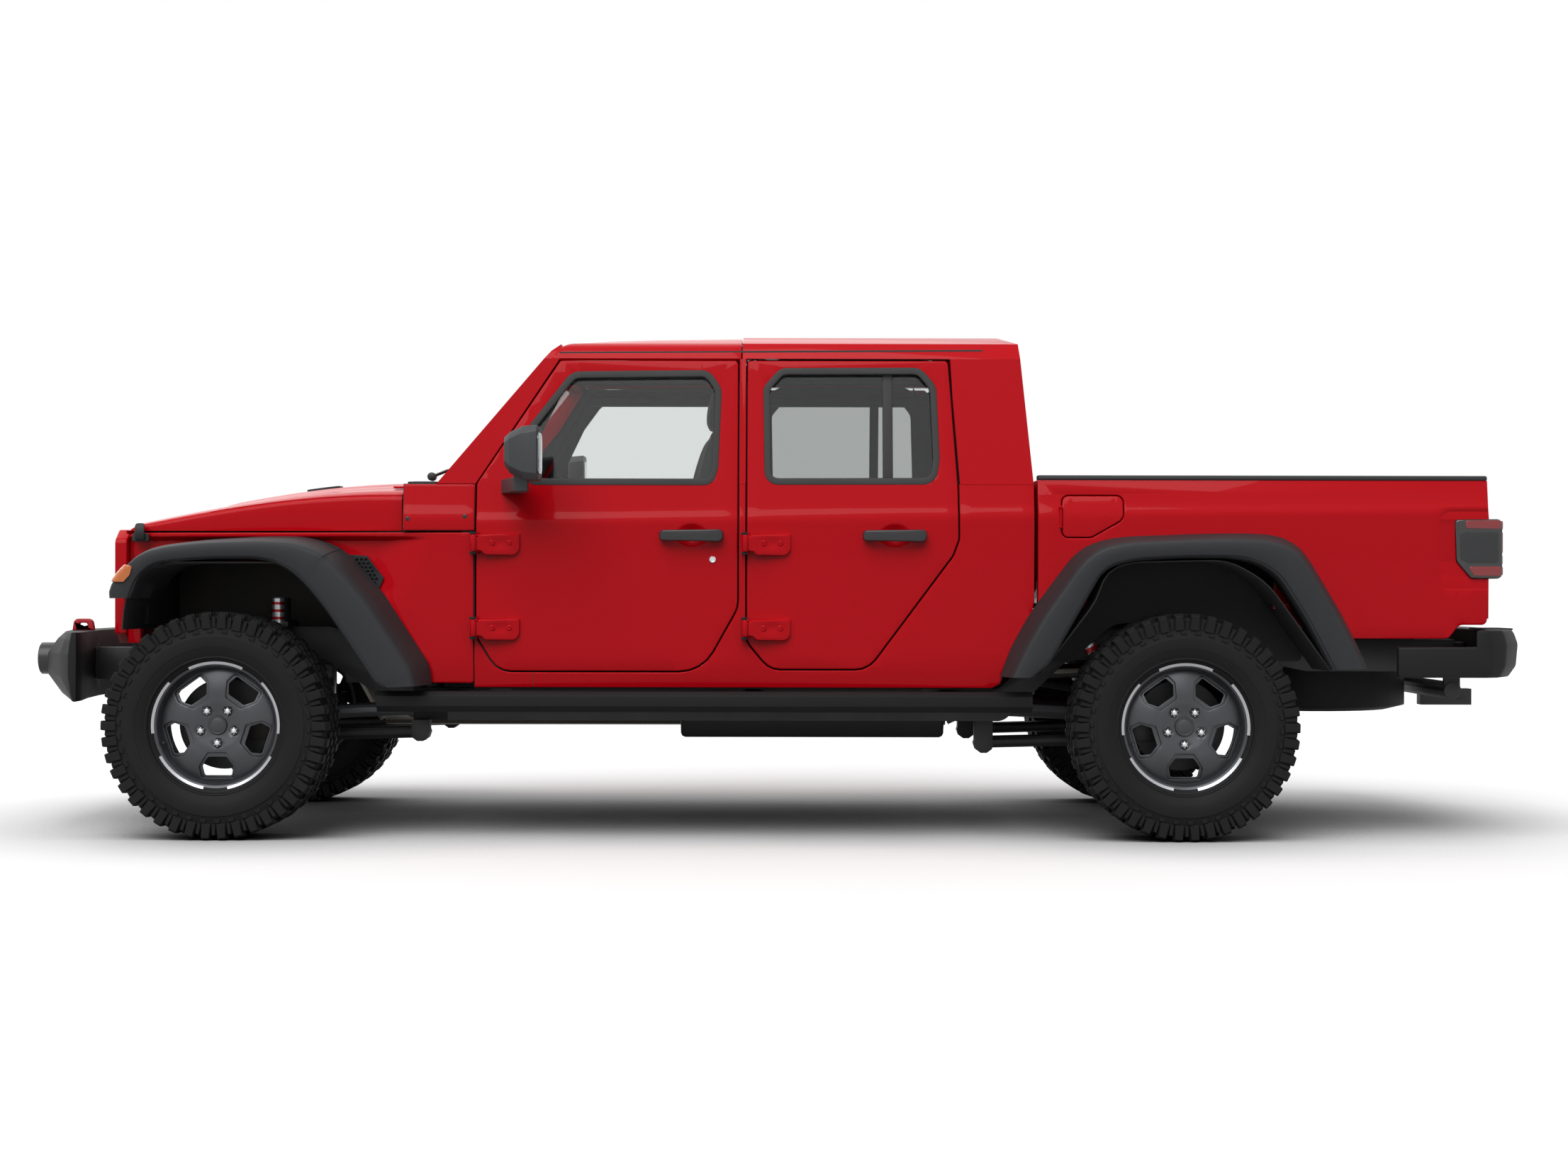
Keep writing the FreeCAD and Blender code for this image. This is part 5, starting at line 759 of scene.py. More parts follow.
fender = pressed(fender_line, [], 0.04, 0.004, 0.045, on_fender, extra=rows(2, 1.075, 0.004, 9) + rows(0, 0.53, 0.012,
    22))
sided("fender_skin_{}", fender, paint)
core = bmesh.new()
box(core, (0.06, 1.2, 0.32), (-0.35, 0, 0.93))
for k in range(36):
    box(core, (0.004, 1.19, 0.003), (-0.382, 0, 0.778 + 0.0087 * k))
piece("radiator_core", core, black_liner_and_shade_sheet, "front_fenders", slot="body_red")


# Flares: moulded plastic bands round the wheel openings, rolled in at the arch's edge.
# Each is swept along two rails, the seat on the body and the lip over the wheel.
def spaced(line, count):
    """Points at even distances along an open line."""
    lengths = [0.0]
    for one, two in zip(line, line[1:]):
        lengths.append(lengths[-1] + (two - one).length)
    result = []
    for k in range(count):
        target = lengths[-1] * k / (count - 1)
        i = min(max(bisect_left(lengths, target), 1), len(line) - 1)
        share = (target - lengths[i - 1]) / max(lengths[i] - lengths[i - 1], 1e-9)
        result.append(line[i - 1].lerp(line[i], share))
    return result


def open_line(corners):
    """An open line of (a, b, reach) corners, rounded over each reach."""
    return smoothed([corners[0][:2]] + [c if len(c) == 3 else (*c, 0.02) for c in corners[1:-1]] + [corners[-1][:2]])


FLARE_SECTION = [(0.0, 0.784), (0.0, 0.8), (0.03, 0.812), (0.12, 0.87), (0.24, 0.922), (0.3, 0.934), (0.36, 0.937),
    (0.86, 0.937), (0.9, 0.934), (0.905, 0.929), (0.93, 0.929), (0.97, 0.924), (1.0, 0.91), (1.0, 0.8), (0.94, 0.79),
    (0.94, 0.9), (0.9, 0.915), (0.36, 0.92), (0.16, 0.862), (0.07, 0.8), (0.07, 0.784)]


def lofted(rings):
    """A surface through open rings of as many points each."""
    bm = bmesh.new()
    lines = []
    for ring in rings:
        spots = [bm.verts.new(p) for p in ring]
        lines.append([bm.edges.new(pair) for pair in zip(spots, spots[1:])])
    for one, two in zip(lines, lines[1:]):
        bmesh.ops.bridge_loops(bm, edges=one + two)
    bmesh.ops.remove_doubles(bm, verts=bm.verts, dist=1e-6)
    bmesh.ops.dissolve_degenerate(bm, edges=bm.edges, dist=1e-5)
    return bm


def swept_flare(seat_line, lip_line, narrow, count=64):
    """narrow gives how far the seat stands in at a station, where the body is narrower."""
    rings = []
    for seat, lip in zip(spaced(seat_line, count), spaced(lip_line, count)):
        spots = [(seat.lerp(lip, share), y) for share, y in FLARE_SECTION + FLARE_SECTION[:1]]
        rings.append([at(p.x, (narrow(p.x) if y < 0.86 else 0) - y, p.y) for p, y in spots])
    return closed(lofted(rings))


FRONT_SEAT = open_line([(-0.402, 0.868), (-0.409, 0.9, 0.02), (-0.376, 0.955, 0.03), (-0.291, 1.039, 0.05),
    (-0.214, 1.067, 0.04), (-0.076, 1.085, 0.06), (0.162, 1.097, 0.08), (0.292, 1.094, 0.05), (0.388, 1.069, 0.05),
    (0.447, 1.037, 0.05), (0.584, 0.885, 0.06), (0.752, 0.627, 0.02), (0.76, 0.556)])
FRONT_LIP = open_line([(-0.3, 0.868), (-0.27, 0.945, 0.03), (-0.214, 0.994, 0.04), (-0.031, 1.01, 0.06),
    (0.162, 1.01, 0.05), (0.246, 0.984, 0.05), (0.317, 0.925, 0.05), (0.401, 0.821, 0.05), (0.574, 0.56, 0.02),
    (0.6, 0.549)])
REAR_SEAT = open_line([(2.829, 0.589), (2.868, 0.694, 0.03), (2.939, 0.822, 0.04), (3.101, 1.04, 0.05),
    (3.179, 1.082, 0.05), (3.276, 1.098, 0.04), (3.579, 1.11, 0.08), (3.754, 1.111, 0.06), (3.833, 1.103, 0.04),
    (3.897, 1.077, 0.04), (3.942, 1.031, 0.04), (4.066, 0.824, 0.06), (4.168, 0.622)])
REAR_LIP = open_line([(2.939, 0.589), (2.995, 0.631, 0.02), (3.192, 0.979, 0.05), (3.294, 1.008, 0.05),
    (3.469, 1.019, 0.06), (3.645, 1.019, 0.05), (3.735, 1.002, 0.04), (3.812, 0.953, 0.04), (3.91, 0.801, 0.06),
    (4.005, 0.62)])
front_flare = swept_flare(FRONT_SEAT, FRONT_LIP, lambda x: max(0.0, 0.792 - side_at(x, 0.95)))
flare_surface = BVHTree.FromBMesh(front_flare)
sided("front_flare_{}", front_flare, moulded, "front_flares", crease=50)
sided("rear_flare_{}", swept_flare(REAR_SEAT, REAR_LIP, lambda x: 0.0), moulded, "rear_flares", crease=50)

# Arch liners: thin black plastic sheets from the flare's lip to the frame, with an inner wall behind.
# Black strips stand behind the seams that are left open in the skins, and a black line marks a seam on the sill: both
# are painted shade in the gaps.
LINER_OUT, LINER_THICK = 0.905, 0.004


def liner(line, inner_y):
    bm = bmesh.new()
    spots = [bm.verts.new(at(p.x, -LINER_OUT, p.y)) for p in spaced(line, 40)]
    edges = [bm.edges.new(pair) for pair in zip(spots, spots[1:])]
    side = bmesh.ops.extrude_edge_only(bm, edges=edges)["geom"]
    move(bm, vertices(side), (0, LINER_OUT - inner_y, 0))
    face_out(bm)
    bmesh.ops.solidify(bm, geom=bm.faces[:], thickness=LINER_THICK)
    return bm


FRONT_LINER = open_line([(-0.338, 0.755), (-0.33, 0.86, 0.05), (-0.262, 0.978, 0.06), (-0.18, 1.0, 0.05),
    (0.24, 1.0, 0.06), (0.326, 0.93, 0.06), (0.44, 0.79, 0.06), (0.585, 0.56)])
REAR_LINER = open_line([(2.962, 0.6), (3.158, 0.858, 0.03), (3.202, 0.975, 0.05), (3.29, 1.006, 0.05),
    (3.64, 1.014, 0.06), (3.78, 0.935, 0.07), (4.01, 0.615)])
sided("front_liner_{}", liner(FRONT_LINER, 0.42), black_liner_and_shade_sheet)
sided("rear_liner_{}", liner(REAR_LINER, 0.59), black_liner_and_shade_sheet)
rear_wall = pressed(rounded([(2.99, 0.64, 0.02), (3.16, 0.862, 0.03), (3.2, 0.968, 0.05), (3.29, 1.003, 0.05),
    (3.64, 1.011, 0.06), (3.775, 0.935, 0.07), (3.985, 0.64, 0.02), (3.86, 0.64, 0.02), (3.7, 0.78, 0.1),
    (3.27, 0.78, 0.1), (3.11, 0.64, 0.02)]), [], 0.004, 0.001, 0.08, flat_side(0.598))
sided("rear_liner_wall_{}", rear_wall, black_liner_and_shade_sheet)
# A black strip behind the gap between the fender and the hood: painted shade in the gap.
seam_shade = pressed(plate(-0.37, 0.905, 1.085, 1.135), [], 0.003, 0.001, 0.08, on_side(-0.052))
sided("fender_seam_back_{}", seam_shade, black_liner_and_shade_sheet)
# A black line drawn on the sill where a seam is: painted shade standing for the seam's gap.
sill_seam_shade = pressed(plate(1.1268, 1.1292, 0.548, 0.599), [], 0.004, 0.0004, 0.05, on_side(0.0019), rings=1)
sided("sill_seam_{}", sill_seam_shade, seal_rubber)

# Cowl sides: the painted steel panels between the hood and the doors.
# Each is held by two black screws with a socket.
cowl_panel = pressed(plate(0.6545, 0.914, 1.1165, 1.286), [], 0.03, 0.003, 0.03,
    lambda x, z, depth: at(x, depth - SKIN_PROUD - read(SIDE_SECTION, z), z), extra=rows(2, 1.13, 0.007, 22))
sided("cowl_panel_{}", cowl_panel, paint)
SCREW_HEAD = [(-0.004, 0.0), (-0.004, 0.0085), (0.001, 0.0085), (0.003, 0.0065), (0.0035, 0.004), (0.0015, 0.0035),
    (0.0015, 0.0)]
screws = bmesh.new()
for x, z in ((0.672, 1.159), (0.88, 1.167)):
    screws = turned(screws, (x, -read(SIDE_SECTION, z) - 0.001, z), SCREW_HEAD, 16)
sided("cowl_screws_{}", screws, black_gloss)


# Windshield frame and hard rear top: moulded shells in body colour with well-rounded outer edges.
# Their real form is the frame's own solid, so its faces are cleaned and its edges are rounded.
def sharp_edges(bm, least):
    return [e for e in bm.edges if len(e.link_faces) == 2 and e.calc_face_angle(0) > math.radians(least)]


def softened(node, width, segments=2, least=25, only=None):
    """The node's solid as one clean mesh, with its sharp edges rolled over by the width."""
    bm = bmesh.new()
    bm.from_mesh(frame["nodes"][node].data)
    bmesh.ops.remove_doubles(bm, verts=bm.verts, dist=1e-5)
    bmesh.ops.dissolve_limit(bm, angle_limit=math.radians(0.5), use_dissolve_boundaries=False, verts=bm.verts,
        edges=bm.edges, delimit=set())
    bevelled(bm, [e for e in sharp_edges(bm, least) if only is None or only(e)], width, segments, clamp=True)
    return bm


def on_the_outside(edge):
    """Whether an edge lies above the waist and isn't one of the windows'."""
    return all(v.co.z > 1.29 and not (1.2 < v.co.z < 1.744 and abs(v.co.y) < 0.6) for v in edge.verts)


for node_name, width in (("windshield_frame", 0.01), ("hardtop_rear", 0.024)):
    shell = softened(node_name, width, 4, 14, on_the_outside)
    piece(node_name + "_shell", shell, paint, node_name, crease=30)


# Front roof: two removable panels, lofted to the cab's section, with a seam between them.
# Black rubber gutter strips run in the groove along each side of the roof.
def shelled(bm, up, thick, roll):
    """Give a surface that faces up its wall, and roll the wall's edges."""
    face_out(bm)
    if sum(f.normal.dot(Vector(up)) * f.calc_area() for f in bm.faces) < 0:
        bmesh.ops.reverse_faces(bm, faces=bm.faces)
    bm.normal_update()
    inwards = {v.co.to_tuple(6): -v.normal * thick for v in bm.verts}
    wall = bmesh.ops.extrude_face_region(bm, geom=bm.faces[:], use_keep_orig=True)["geom"]
    for v in vertices(wall):
        v.co += inwards[v.co.to_tuple(6)]
    face_out(bm)
    bevelled(bm, sharp_edges(bm, 60), roll, clamp=True)
    return bm


ROOF_BASE, ROOF_CROWN = 1.7535, 1.866
ROOF_TOP = smoothed([(1.186, 1.782), (1.24, 1.824, 0.03), (1.52, 1.842, 0.08), (1.883, 1.8504)])
ROOF_SECTION = smoothed([(0.6855, ROOF_BASE), (0.648, 1.809, 0.03), (0.48, 1.85, 0.08), (0.0022, ROOF_CROWN)])


def roof_ring(x):
    """The cab's section, cut softly where the roof line falls below its crown."""
    blend = 0.004
    ring = []
    for p in ROOF_SECTION:
        cap = read(ROOF_TOP, x) - 0.005 * (p.x / 0.5) ** 2
        z = min(p.y, cap) - blend * math.exp(-abs(p.y - cap) / blend) * 0.5
        ring.append(at(x, -p.x, max(z, ROOF_BASE + (p.y - ROOF_BASE) * 0.05)))
    return ring


UP = (0, 0, 1)
roof_stations = [1.186 + 0.08 * k / 10 for k in range(10)] + [1.266 + 0.617 * k / 12 for k in range(13)]
roof_half = shelled(lofted([roof_ring(x) for x in roof_stations]), UP, 0.012, 0.0025)
sided("roof_panel_{}", roof_half, paint, "roof_panels", crease=30)
GUTTER_SECTION = [(-0.006, -0.003), (0.002, -0.0035), (0.0016, 0.0025), (-0.006, 0.004), (-0.006, -0.003)]
gutter_rings = []
for share in (k / 32 for k in range(33)):
    z = 1.7755 + 0.011 * share
    y = 0.6855 - (z - ROOF_BASE) * (0.6855 - 0.648) / (1.809 - ROOF_BASE)
    gutter_rings.append([at(1.212 + 1.56 * share, -(y + out), z + up) for out, up in GUTTER_SECTION])
sided("roof_gutter_{}", closed(lofted(gutter_rings)), seal_rubber)

# Hood: one pressing, bowed lengthways, with deep skirts and a raised middle; hinged at the rear.
# Two louvred vents stand on the raised middle, and a rubber latch holds each side.
HOOD_FRONT, HOOD_REAR, HOOD_LOW, NOSE = -0.385, 0.6405, 1.1165, 0.05


def hood_ring(x):
    """The hood's section at a station, from one skirt's edge to the other."""
    share = (x - HOOD_FRONT) / (HOOD_REAR - HOOD_FRONT)
    nose = max(0.0, 1 - (x - HOOD_FRONT) / NOSE)
    half = 0.6405 + 0.088 * share - 0.008 * nose ** 3
    top = 1.15 + 0.14 * math.sin(share * math.pi / 2)
    top -= (top - HOOD_LOW) * 0.55 * (1 - math.sqrt(max(0.0, 1 - nose ** 2)))
    edge = max(top - 0.012 - 0.026 * share, HOOD_LOW + 0.006)
    swell = clamped((x + 0.135) / 0.075)
    bulge = (0.013 + 0.004 * share) * swell * swell * (3 - 2 * swell)
    right = smoothed([(half, HOOD_LOW), (half - 0.007 * share, edge - 0.01, min(0.02, (edge - HOOD_LOW) * 0.45)),
        (half - 0.05, edge + 0.013 * share, 0.03), (half * 0.53, top - 0.001, 0.045), (half * 0.44, top + bulge,
        0.03), (0, top + bulge + 0.004)])
    side = [at(x, -p.x, p.y) for p in right]
    return side + [Vector((a, -b, c)) for a, b, c in reversed(side[:-1])]


hood_stations = [HOOD_FRONT + NOSE * (1 - math.cos(math.pi / 2 * k / 7)) for k in range(7)]
hood_stations += [HOOD_FRONT + NOSE + (HOOD_REAR - HOOD_FRONT - NOSE) * k / 34 for k in range(35)]
foot_ring = [(a, b, HOOD_LOW) for a, b, _ in hood_ring(HOOD_FRONT)]
hood_bm = shelled(lofted([foot_ring] + [hood_ring(x) for x in hood_stations]), UP, 0.01, 0.003)
HOOD_BARREL = [(-0.03, 0.005), (-0.03, 0.0085), (-0.028, 0.0095), (0.028, 0.0095), (0.03, 0.0085), (0.03, 0.005)]
for y in (-0.57, 0.57):
    hood_bm = turned(hood_bm, (0.644, y, 1.284), HOOD_BARREL)
    box(hood_bm, (0.05, 0.052, 0.008), (0.614, y, 1.281), 0.002)
piece("hood_panel", hood_bm, paint, "hood", body="hood", crease=28)


def hood_top(x, y):
    """The hood's height at a station and a half-width."""
    ring = sorted((Vector((-b, c)) for _, b, c in hood_ring(x) if b <= 0), key=lambda p: p.x)
    return read(ring, abs(y))


vent_line = rounded([(0.2, 0.175, 0.02), (0.33, 0.16, 0.025), (0.33, 0.27, 0.025), (0.2, 0.255, 0.02)])
vent_slots = [plate(0.222 + 0.024 * k, 0.234 + 0.024 * k, 0.185, 0.248, 0.006) for k in range(4)]
vent = pressed(vent_line, vent_slots, 0.012, 0.003, 0.02,
    lambda x, y, depth: at(x, -y, hood_top(x, y) + 0.009 - depth))
sided("hood_vent_{}", vent, moulded, body="hood")
LATCH_X, LATCH_Z = -0.334, 1.112
strap = pressed(rounded([(LATCH_X - 0.02, 1.08, 0.008), (LATCH_X + 0.02, 1.08, 0.008), (LATCH_X + 0.017, 1.144, 0.01),
    (LATCH_X - 0.017, 1.144, 0.01)]), [], 0.009, 0.003, 0.01,
    lambda x, z, depth: at(x, depth - 0.668 - 0.012 * (1 - ((z - LATCH_Z) / 0.034) ** 2), z))
base = pressed(rounded([(LATCH_X - 0.032, 1.076, 0.008), (LATCH_X + 0.032, 1.076, 0.008), (LATCH_X + 0.03, 1.106,
    0.006), (LATCH_X - 0.03, 1.106, 0.006)]), [], 0.02, 0.003, 0.02, flat_side(0.664))
sided("hood_latch_{}", join(strap, base), moulded)

# Cowl: the ribbed black plastic tray at the foot of the windshield.
# Two wipers lie over it, each with an arm from its pivot and a blade along the glass.
tray = pressed(plate(0.655, 0.772, -0.7, 0.7, 0.02), [], 0.016, 0.004, 0.04,
    lambda x, y, depth: at(x, y, 1.2985 - depth))
for k in range(11):
    box(tray, (0.08, 0.008, 0.005), (0.705, -0.6 + 0.12 * k, 1.3005), 0.0015, 1)
piece("cowl_tray", tray, moulded)
SCREEN_FOOT, SCREEN_HEAD = Vector((0.773, 1.29)), Vector((1.183, 1.784))
screen_run = (SCREEN_HEAD - SCREEN_FOOT).normalized()
screen_out = Vector((-screen_run.y, screen_run.x))


def on_screen(y, up, out):
    """A point on the windshield: across the car, up the glass and off its surface."""
    spot = SCREEN_FOOT + screen_run * up + screen_out * out
    return at(spot.x, y, spot.y)


ROD_SECTION = [(-1, -0.6), (-0.6, -1), (0.6, -1), (1, -0.6), (1, 0.6), (0.6, 1), (-0.6, 1), (-1, 0.6), (-1, -0.6)]


def rod(bm, points, half, tall=None):
    """Add a bar of a given half-width through points, with its corners cut."""
    rings = []
    for i, here in enumerate(points):
        run = (points[min(i + 1, len(points) - 1)] - points[max(i - 1, 0)]).normalized()
        side = run.cross(Vector(UP))
        side = side.normalized() if side.length > 0.01 else Vector((0, 1, 0))
        rings.append([here + side * a * half + side.cross(run) * b * (tall or half) for a, b in ROD_SECTION])
    return join(bm, closed(lofted(rings)))


WIPER_X, WIPER_Z = 0.728, 1.322
wipers = bmesh.new()
for pivot, tip in ((0.56, 0.1), (-0.04, -0.56)):
    half_way = -(pivot + tip) / 2
    wipers = turned(wipers, (WIPER_X, -pivot, WIPER_Z), [(-0.016, 0.0), (-0.016, 0.016), (0.016, 0.016),
        (0.018, 0.012), (0.018, 0.0)], 16)
    wipers = rod(wipers, [at(WIPER_X, -pivot, WIPER_Z), on_screen(0.04 - pivot, 0.05, 0.03),
        on_screen(half_way, 0.075, 0.022)], 0.007, 0.005)
    wipers = rod(wipers, [on_screen(-pivot - 0.02, 0.068, 0.012), on_screen(half_way, 0.07, 0.014),
        on_screen(-tip, 0.062, 0.012)], 0.006, 0.01)
piece("windshield_wipers", wipers, black_gloss)

# Bed sides: pressed steel around the arch, with a hollow before the tail lamp and the fuel lid's hole.
# The bed's inner walls and ribbed floor are painted too, and its rails have black covers.
BED_LINE = rounded([(2.967, 1.304, 0.004), (2.967, 0.735, 0.01), (3.03, 0.735, 0.01), (3.176, 0.992, 0.05),
    (3.284, 1.03, 0.04), (3.656, 1.03, 0.04), (3.832, 0.966, 0.05), (3.96, 0.728, 0.01), (4.462, 0.728, 0.03),
    (4.5, 0.779, 0.03), (4.602, 0.779, 0.02), (4.604, 0.936, 0.006), (4.54, 0.936, 0.012), (4.476, 1.006, 0.012),
    (4.474, 1.17, 0.012), (4.606, 1.174, 0.006), (4.606, 1.304, 0.012)])
FUEL_LINE = rounded([(3.055, 1.096, 0.022), (3.16, 1.096, 0.03), (3.276, 1.162, 0.036), (3.276, 1.246, 0.024),
    (3.055, 1.246, 0.024)])
LAMP_HOLLOW = 0.02


def on_bed(x, z, depth):
    """The bed's outer surface, drawn in before the tail lamp."""
    spot = on_side(SKIN_PROUD)(x, z, depth)
    rise = clamped((x - 4.418) / 0.062)
    height = clamped((z - 0.905) / 0.055) * clamped((1.205 - z) / 0.035)
    spot.y += LAMP_HOLLOW * rise * rise * (3 - 2 * rise) * height * (1 - min(1, depth / 0.04))
    return spot


bed_skin = pressed(BED_LINE, [offset(FUEL_LINE, 0.004)], 0.038, 0.0035, 0.045, on_bed, extra=rows(2, 1.13, 0.007, 25)
    + rows(0, 4.415, 0.01, 8) + rows(2, 0.905, 0.01, 7))
pocket = pressed(offset(FUEL_LINE, 0.008), [], 0.003, 0.001, 0.1, on_side(-0.03))
sided("fuel_pocket_{}", pocket, black_liner_and_shade_sheet, slot="body_red")
sided("bed_side_{}", bed_skin, paint)
lid = turned(pressed(FUEL_LINE, [], 0.01, 0.003, 0.03, on_side(SKIN_PROUD)), (3.049, -0.798, 1.17),
    [(-0.028, 0.0), (-0.028, 0.0042), (0.028, 0.0042), (0.028, 0.0)], 14, UPRIGHT)
piece("fuel_lid", lid, paint, "fuel_door", body="fuel_door")
blank_lid = pressed(offset(FUEL_LINE, 0.0045), [], 0.02, 0.002, 0.03,
    lambda x, z, depth: at(x, side_at(x, z) + 0.001 - depth, z))
piece("bed_side_blank", blank_lid, paint)
bed_inner = softened("bed", 0.004)
for k in range(9):
    rib = box(bed_inner, (1.47, 0.058, 0.012), (3.785, -0.48 + 0.12 * k, 0.8605))
    bevelled(bed_inner, [e for e in edges_of(rib) if all(v.co.z > 0.862 for v in e.verts)], 0.005)
for face in bed_inner.faces:
    in_arch = all(3.143 < v.co.x - axle_x < 3.847 and abs(v.co.y) > 0.572 and v.co.z < 1.075 for v in face.verts)
    face.material_index = 1 if in_arch else 0
piece("bed_liner", bed_inner, [paint, black_liner_and_shade_sheet], "bed", crease=40)
gussets = join(*[pressed([Vector(p) for p in corners], [], 0.003, 0.0008, 0.2,
    lambda x, z, depth: at(x, -0.7197 - depth, z), rings=1) for corners in (((3.846, 0.857), (3.902, 0.857),
    (3.846, 0.956)), ((3.088, 0.857), (3.144, 0.857), (3.144, 0.956)))])
sided("arch_gusset_{}", gussets, paint)
piece("bed_rail_covers", softened("bed_rail_caps", 0.005, 3), moulded, "bed_rail_caps")

# Tailgate: a pressed panel with a raised frame round a flat field.
# A black pull handle lies over a cup near its top.
GATE_LINE = rounded([(-0.697, 0.876, 0.02), (0.697, 0.876, 0.02), (0.697, 1.304, 0.012), (-0.697, 1.304, 0.012)])


def on_gate(y, z, depth):
    """The outer face, sunk by a few millimetres inside its border and cupped behind the handle."""
    field = clamped((0.625 - abs(y)) / 0.022) * clamped(0.5 + (0.15 - abs(z - 1.08)) / 0.022)
    cup = 0.022 * bump_at(y / 0.105, (z - 1.18) / 0.055)
    inwards = (0.007 * field + cup) * (1 - min(1, depth / 0.03))
    return at(4.6075 - depth - inwards, y, z)


gate = pressed(GATE_LINE, [], 0.046, 0.005, 0.045, on_gate, extra=rows(0, 0.6, 0.007, 5) + rows(0, -0.6, -0.007, 5)
    + rows(0, -0.105, 0.015, 15) + rows(2, 0.918, 0.007, 5) + rows(2, 1.125, 0.01, 12))
piece("tailgate_panel", join(gate, softened("tailgate", 0.004)), paint, "tailgate", body="tailgate")
gate_handle = pressed(plate(-0.085, 0.085, 1.168, 1.2, 0.014), [], 0.016, 0.005, 0.02,
    lambda y, z, depth: at(4.6115 - depth, y, z))
piece("tailgate_handle", gate_handle, black_gloss, body="tailgate")

# Tail lamps: black acrylic boxes with a black panel and two red bands on the side.
# Red, clear and red lenses stand one over the other behind.
lamp_black = grained("smoked_acrylic", "lamp_red", "#111112", "#18181A", 0.16, 0.003, 0.00005, Coat_Weight=0.6,
    Coat_Roughness=0.03)
LENS = {"IOR": 1.49, "Coat_Weight": 0.5, "Coat_Roughness": 0.03}
red_lens = finish("red_acrylic_lens", "lamp_red", "#8E0812", 0.12, **LENS)
clear_lens = finish("clear_acrylic_lens", "lamp_lens", "#C9CCCE", 0.08, **LENS)
LAMP_LINE = rounded([(4.487, 1.01, 0.02), (4.482, 1.163, 0.014), (4.656, 1.165, 0.02), (4.656, 0.947, 0.02),
    (4.541, 0.947, 0.02)])
sided("tail_lamp_box_{}", pressed(LAMP_LINE, [], 0.064, 0.008, 0.03, flat_side(0.7985)), lamp_black, "tail_lamps")
BAND_LINES = [[(4.52, 1.13), (4.52, 1.158), (4.65, 1.16), (4.65, 1.128)], [(4.552, 0.957), (4.526, 0.992),
    (4.65, 0.992), (4.65, 0.957)]]
bands = [pressed(rounded([(*p, 0.008) for p in line]), [], 0.006, 0.002, 0.02, flat_side(0.8002))
    for line in BAND_LINES]
bands += [pressed(plate(0.745, 0.79, low, high, 0.008), [], 0.006, 0.002, 0.02, flat_rear(back))
    for low, high, back in ((0.96, 0.992, 4.659), (1.125, 1.158, 4.659), (1.04, 1.118, 4.6588))]
sided("tail_lamp_red_{}", join(*bands), red_lens)
reverse = pressed(plate(0.745, 0.79, 1.0, 1.032, 0.006), [], 0.006, 0.002, 0.02, flat_rear(4.6588))
sided("reverse_lamp_{}", reverse, clear_lens)
side_panel = pressed(rounded([(4.502, 1.018, 0.02), (4.5, 1.118, 0.012), (4.64, 1.118, 0.012), (4.64, 1.004, 0.012),
    (4.53, 1.004, 0.02)]), [], 0.004, 0.0015, 0.03, flat_side(0.7998))
sided("tail_lamp_panel_{}", side_panel, black_gloss)

# Grille: a painted panel with five plain openings.
# It is backed by a black mesh of thin bars.
piece("grille_panel", softened("grille", 0.006, 3), paint, "grille", crease=30)
mesh_bm = bmesh.new()
for k in range(71):
    box(mesh_bm, (0.003, 0.003, 0.29), (-0.397, -0.35 + 0.01 * k, 0.96))
for k in range(28):
    box(mesh_bm, (0.003, 0.7, 0.003), (-0.3985, 0, 0.825 + 0.01 * k))
piece("grille_mesh", mesh_bm, black_gloss)

# Head lamps: a chromed bowl behind a round polycarbonate lens, in a black ring.
# Two small reflectors stand one over the other in the bowl.
LAMP_X, LAMP_Y, LAMP_Z = LAMP = (-0.437, -0.492, 0.96)
ring = turned(bmesh.new(), LAMP, [(-0.01, 0.078), (-0.01, 0.0915), (0.004, 0.0915), (0.008, 0.0885), (0.008, 0.084),
    (0.002, 0.079), (-0.01, 0.078)], 48, TO_FRONT)
sided("lamp_ring_{}", ring, black_gloss, "front_lamps")
bowl = turned(bmesh.new(), LAMP, [(-0.002, 0.0795), (-0.012, 0.074), (-0.026, 0.056), (-0.034, 0.03), (-0.036, 0.0)],
    48, TO_FRONT)
for dz in (-0.026, 0.026):
    bowl = turned(bowl, (LAMP_X + 0.012, LAMP_Y, LAMP_Z + dz), [(-0.02, 0.0), (-0.02, 0.02), (0.002, 0.0215),
        (0.006, 0.019), (0.002, 0.017), (-0.004, 0.0)], 24, TO_FRONT)
sided("lamp_reflector_{}", bowl, chrome)
lens_clear = finish("polycarbonate_lens", "lamp_lens", "#F2F5F5", 0.01, IOR=1.45, Transmission_Weight=1.0)
lens = turned(bmesh.new(), LAMP, [(-0.004, 0.08), (0.002, 0.08), (0.005, 0.07), (0.0075, 0.048), (0.0085, 0.024),
    (0.0088, 0.0)], 48, TO_FRONT)
sided("lamp_lens_{}", lens, lens_clear)

# Side markers: amber acrylic lenses wrapped round the front of the flares.
# Each follows the flare's own surface and stands 8 mm proud of it.
amber = grained("amber_acrylic", "lamp_lens", "#C8560C", "#D87A1C", 0.14, 0.004, 0.0006, patch=0.02, Coat_Weight=0.6,
    Coat_Roughness=0.03)
MARKER_PROUD = 0.008


def on_flare(x, z, depth):
    """A place over the left front flare's outer face, where a line across the car meets it."""
    hits = [flare_surface.ray_cast(at(x + dx, -1.2, z + dz), Vector((0, 1, 0))) for dx, dz in ((0, 0), (0.008, 0),
        (-0.008, 0), (0, 0.008), (0, -0.008))]
    spot = hits[0][0] or at(x, -0.8, z)
    normal = sum((h[1] if h[1].y < 0 else -h[1] for h in hits if h[0]), Vector((0, -0.01, 0))).normalized()
    return spot + normal * (MARKER_PROUD - depth)


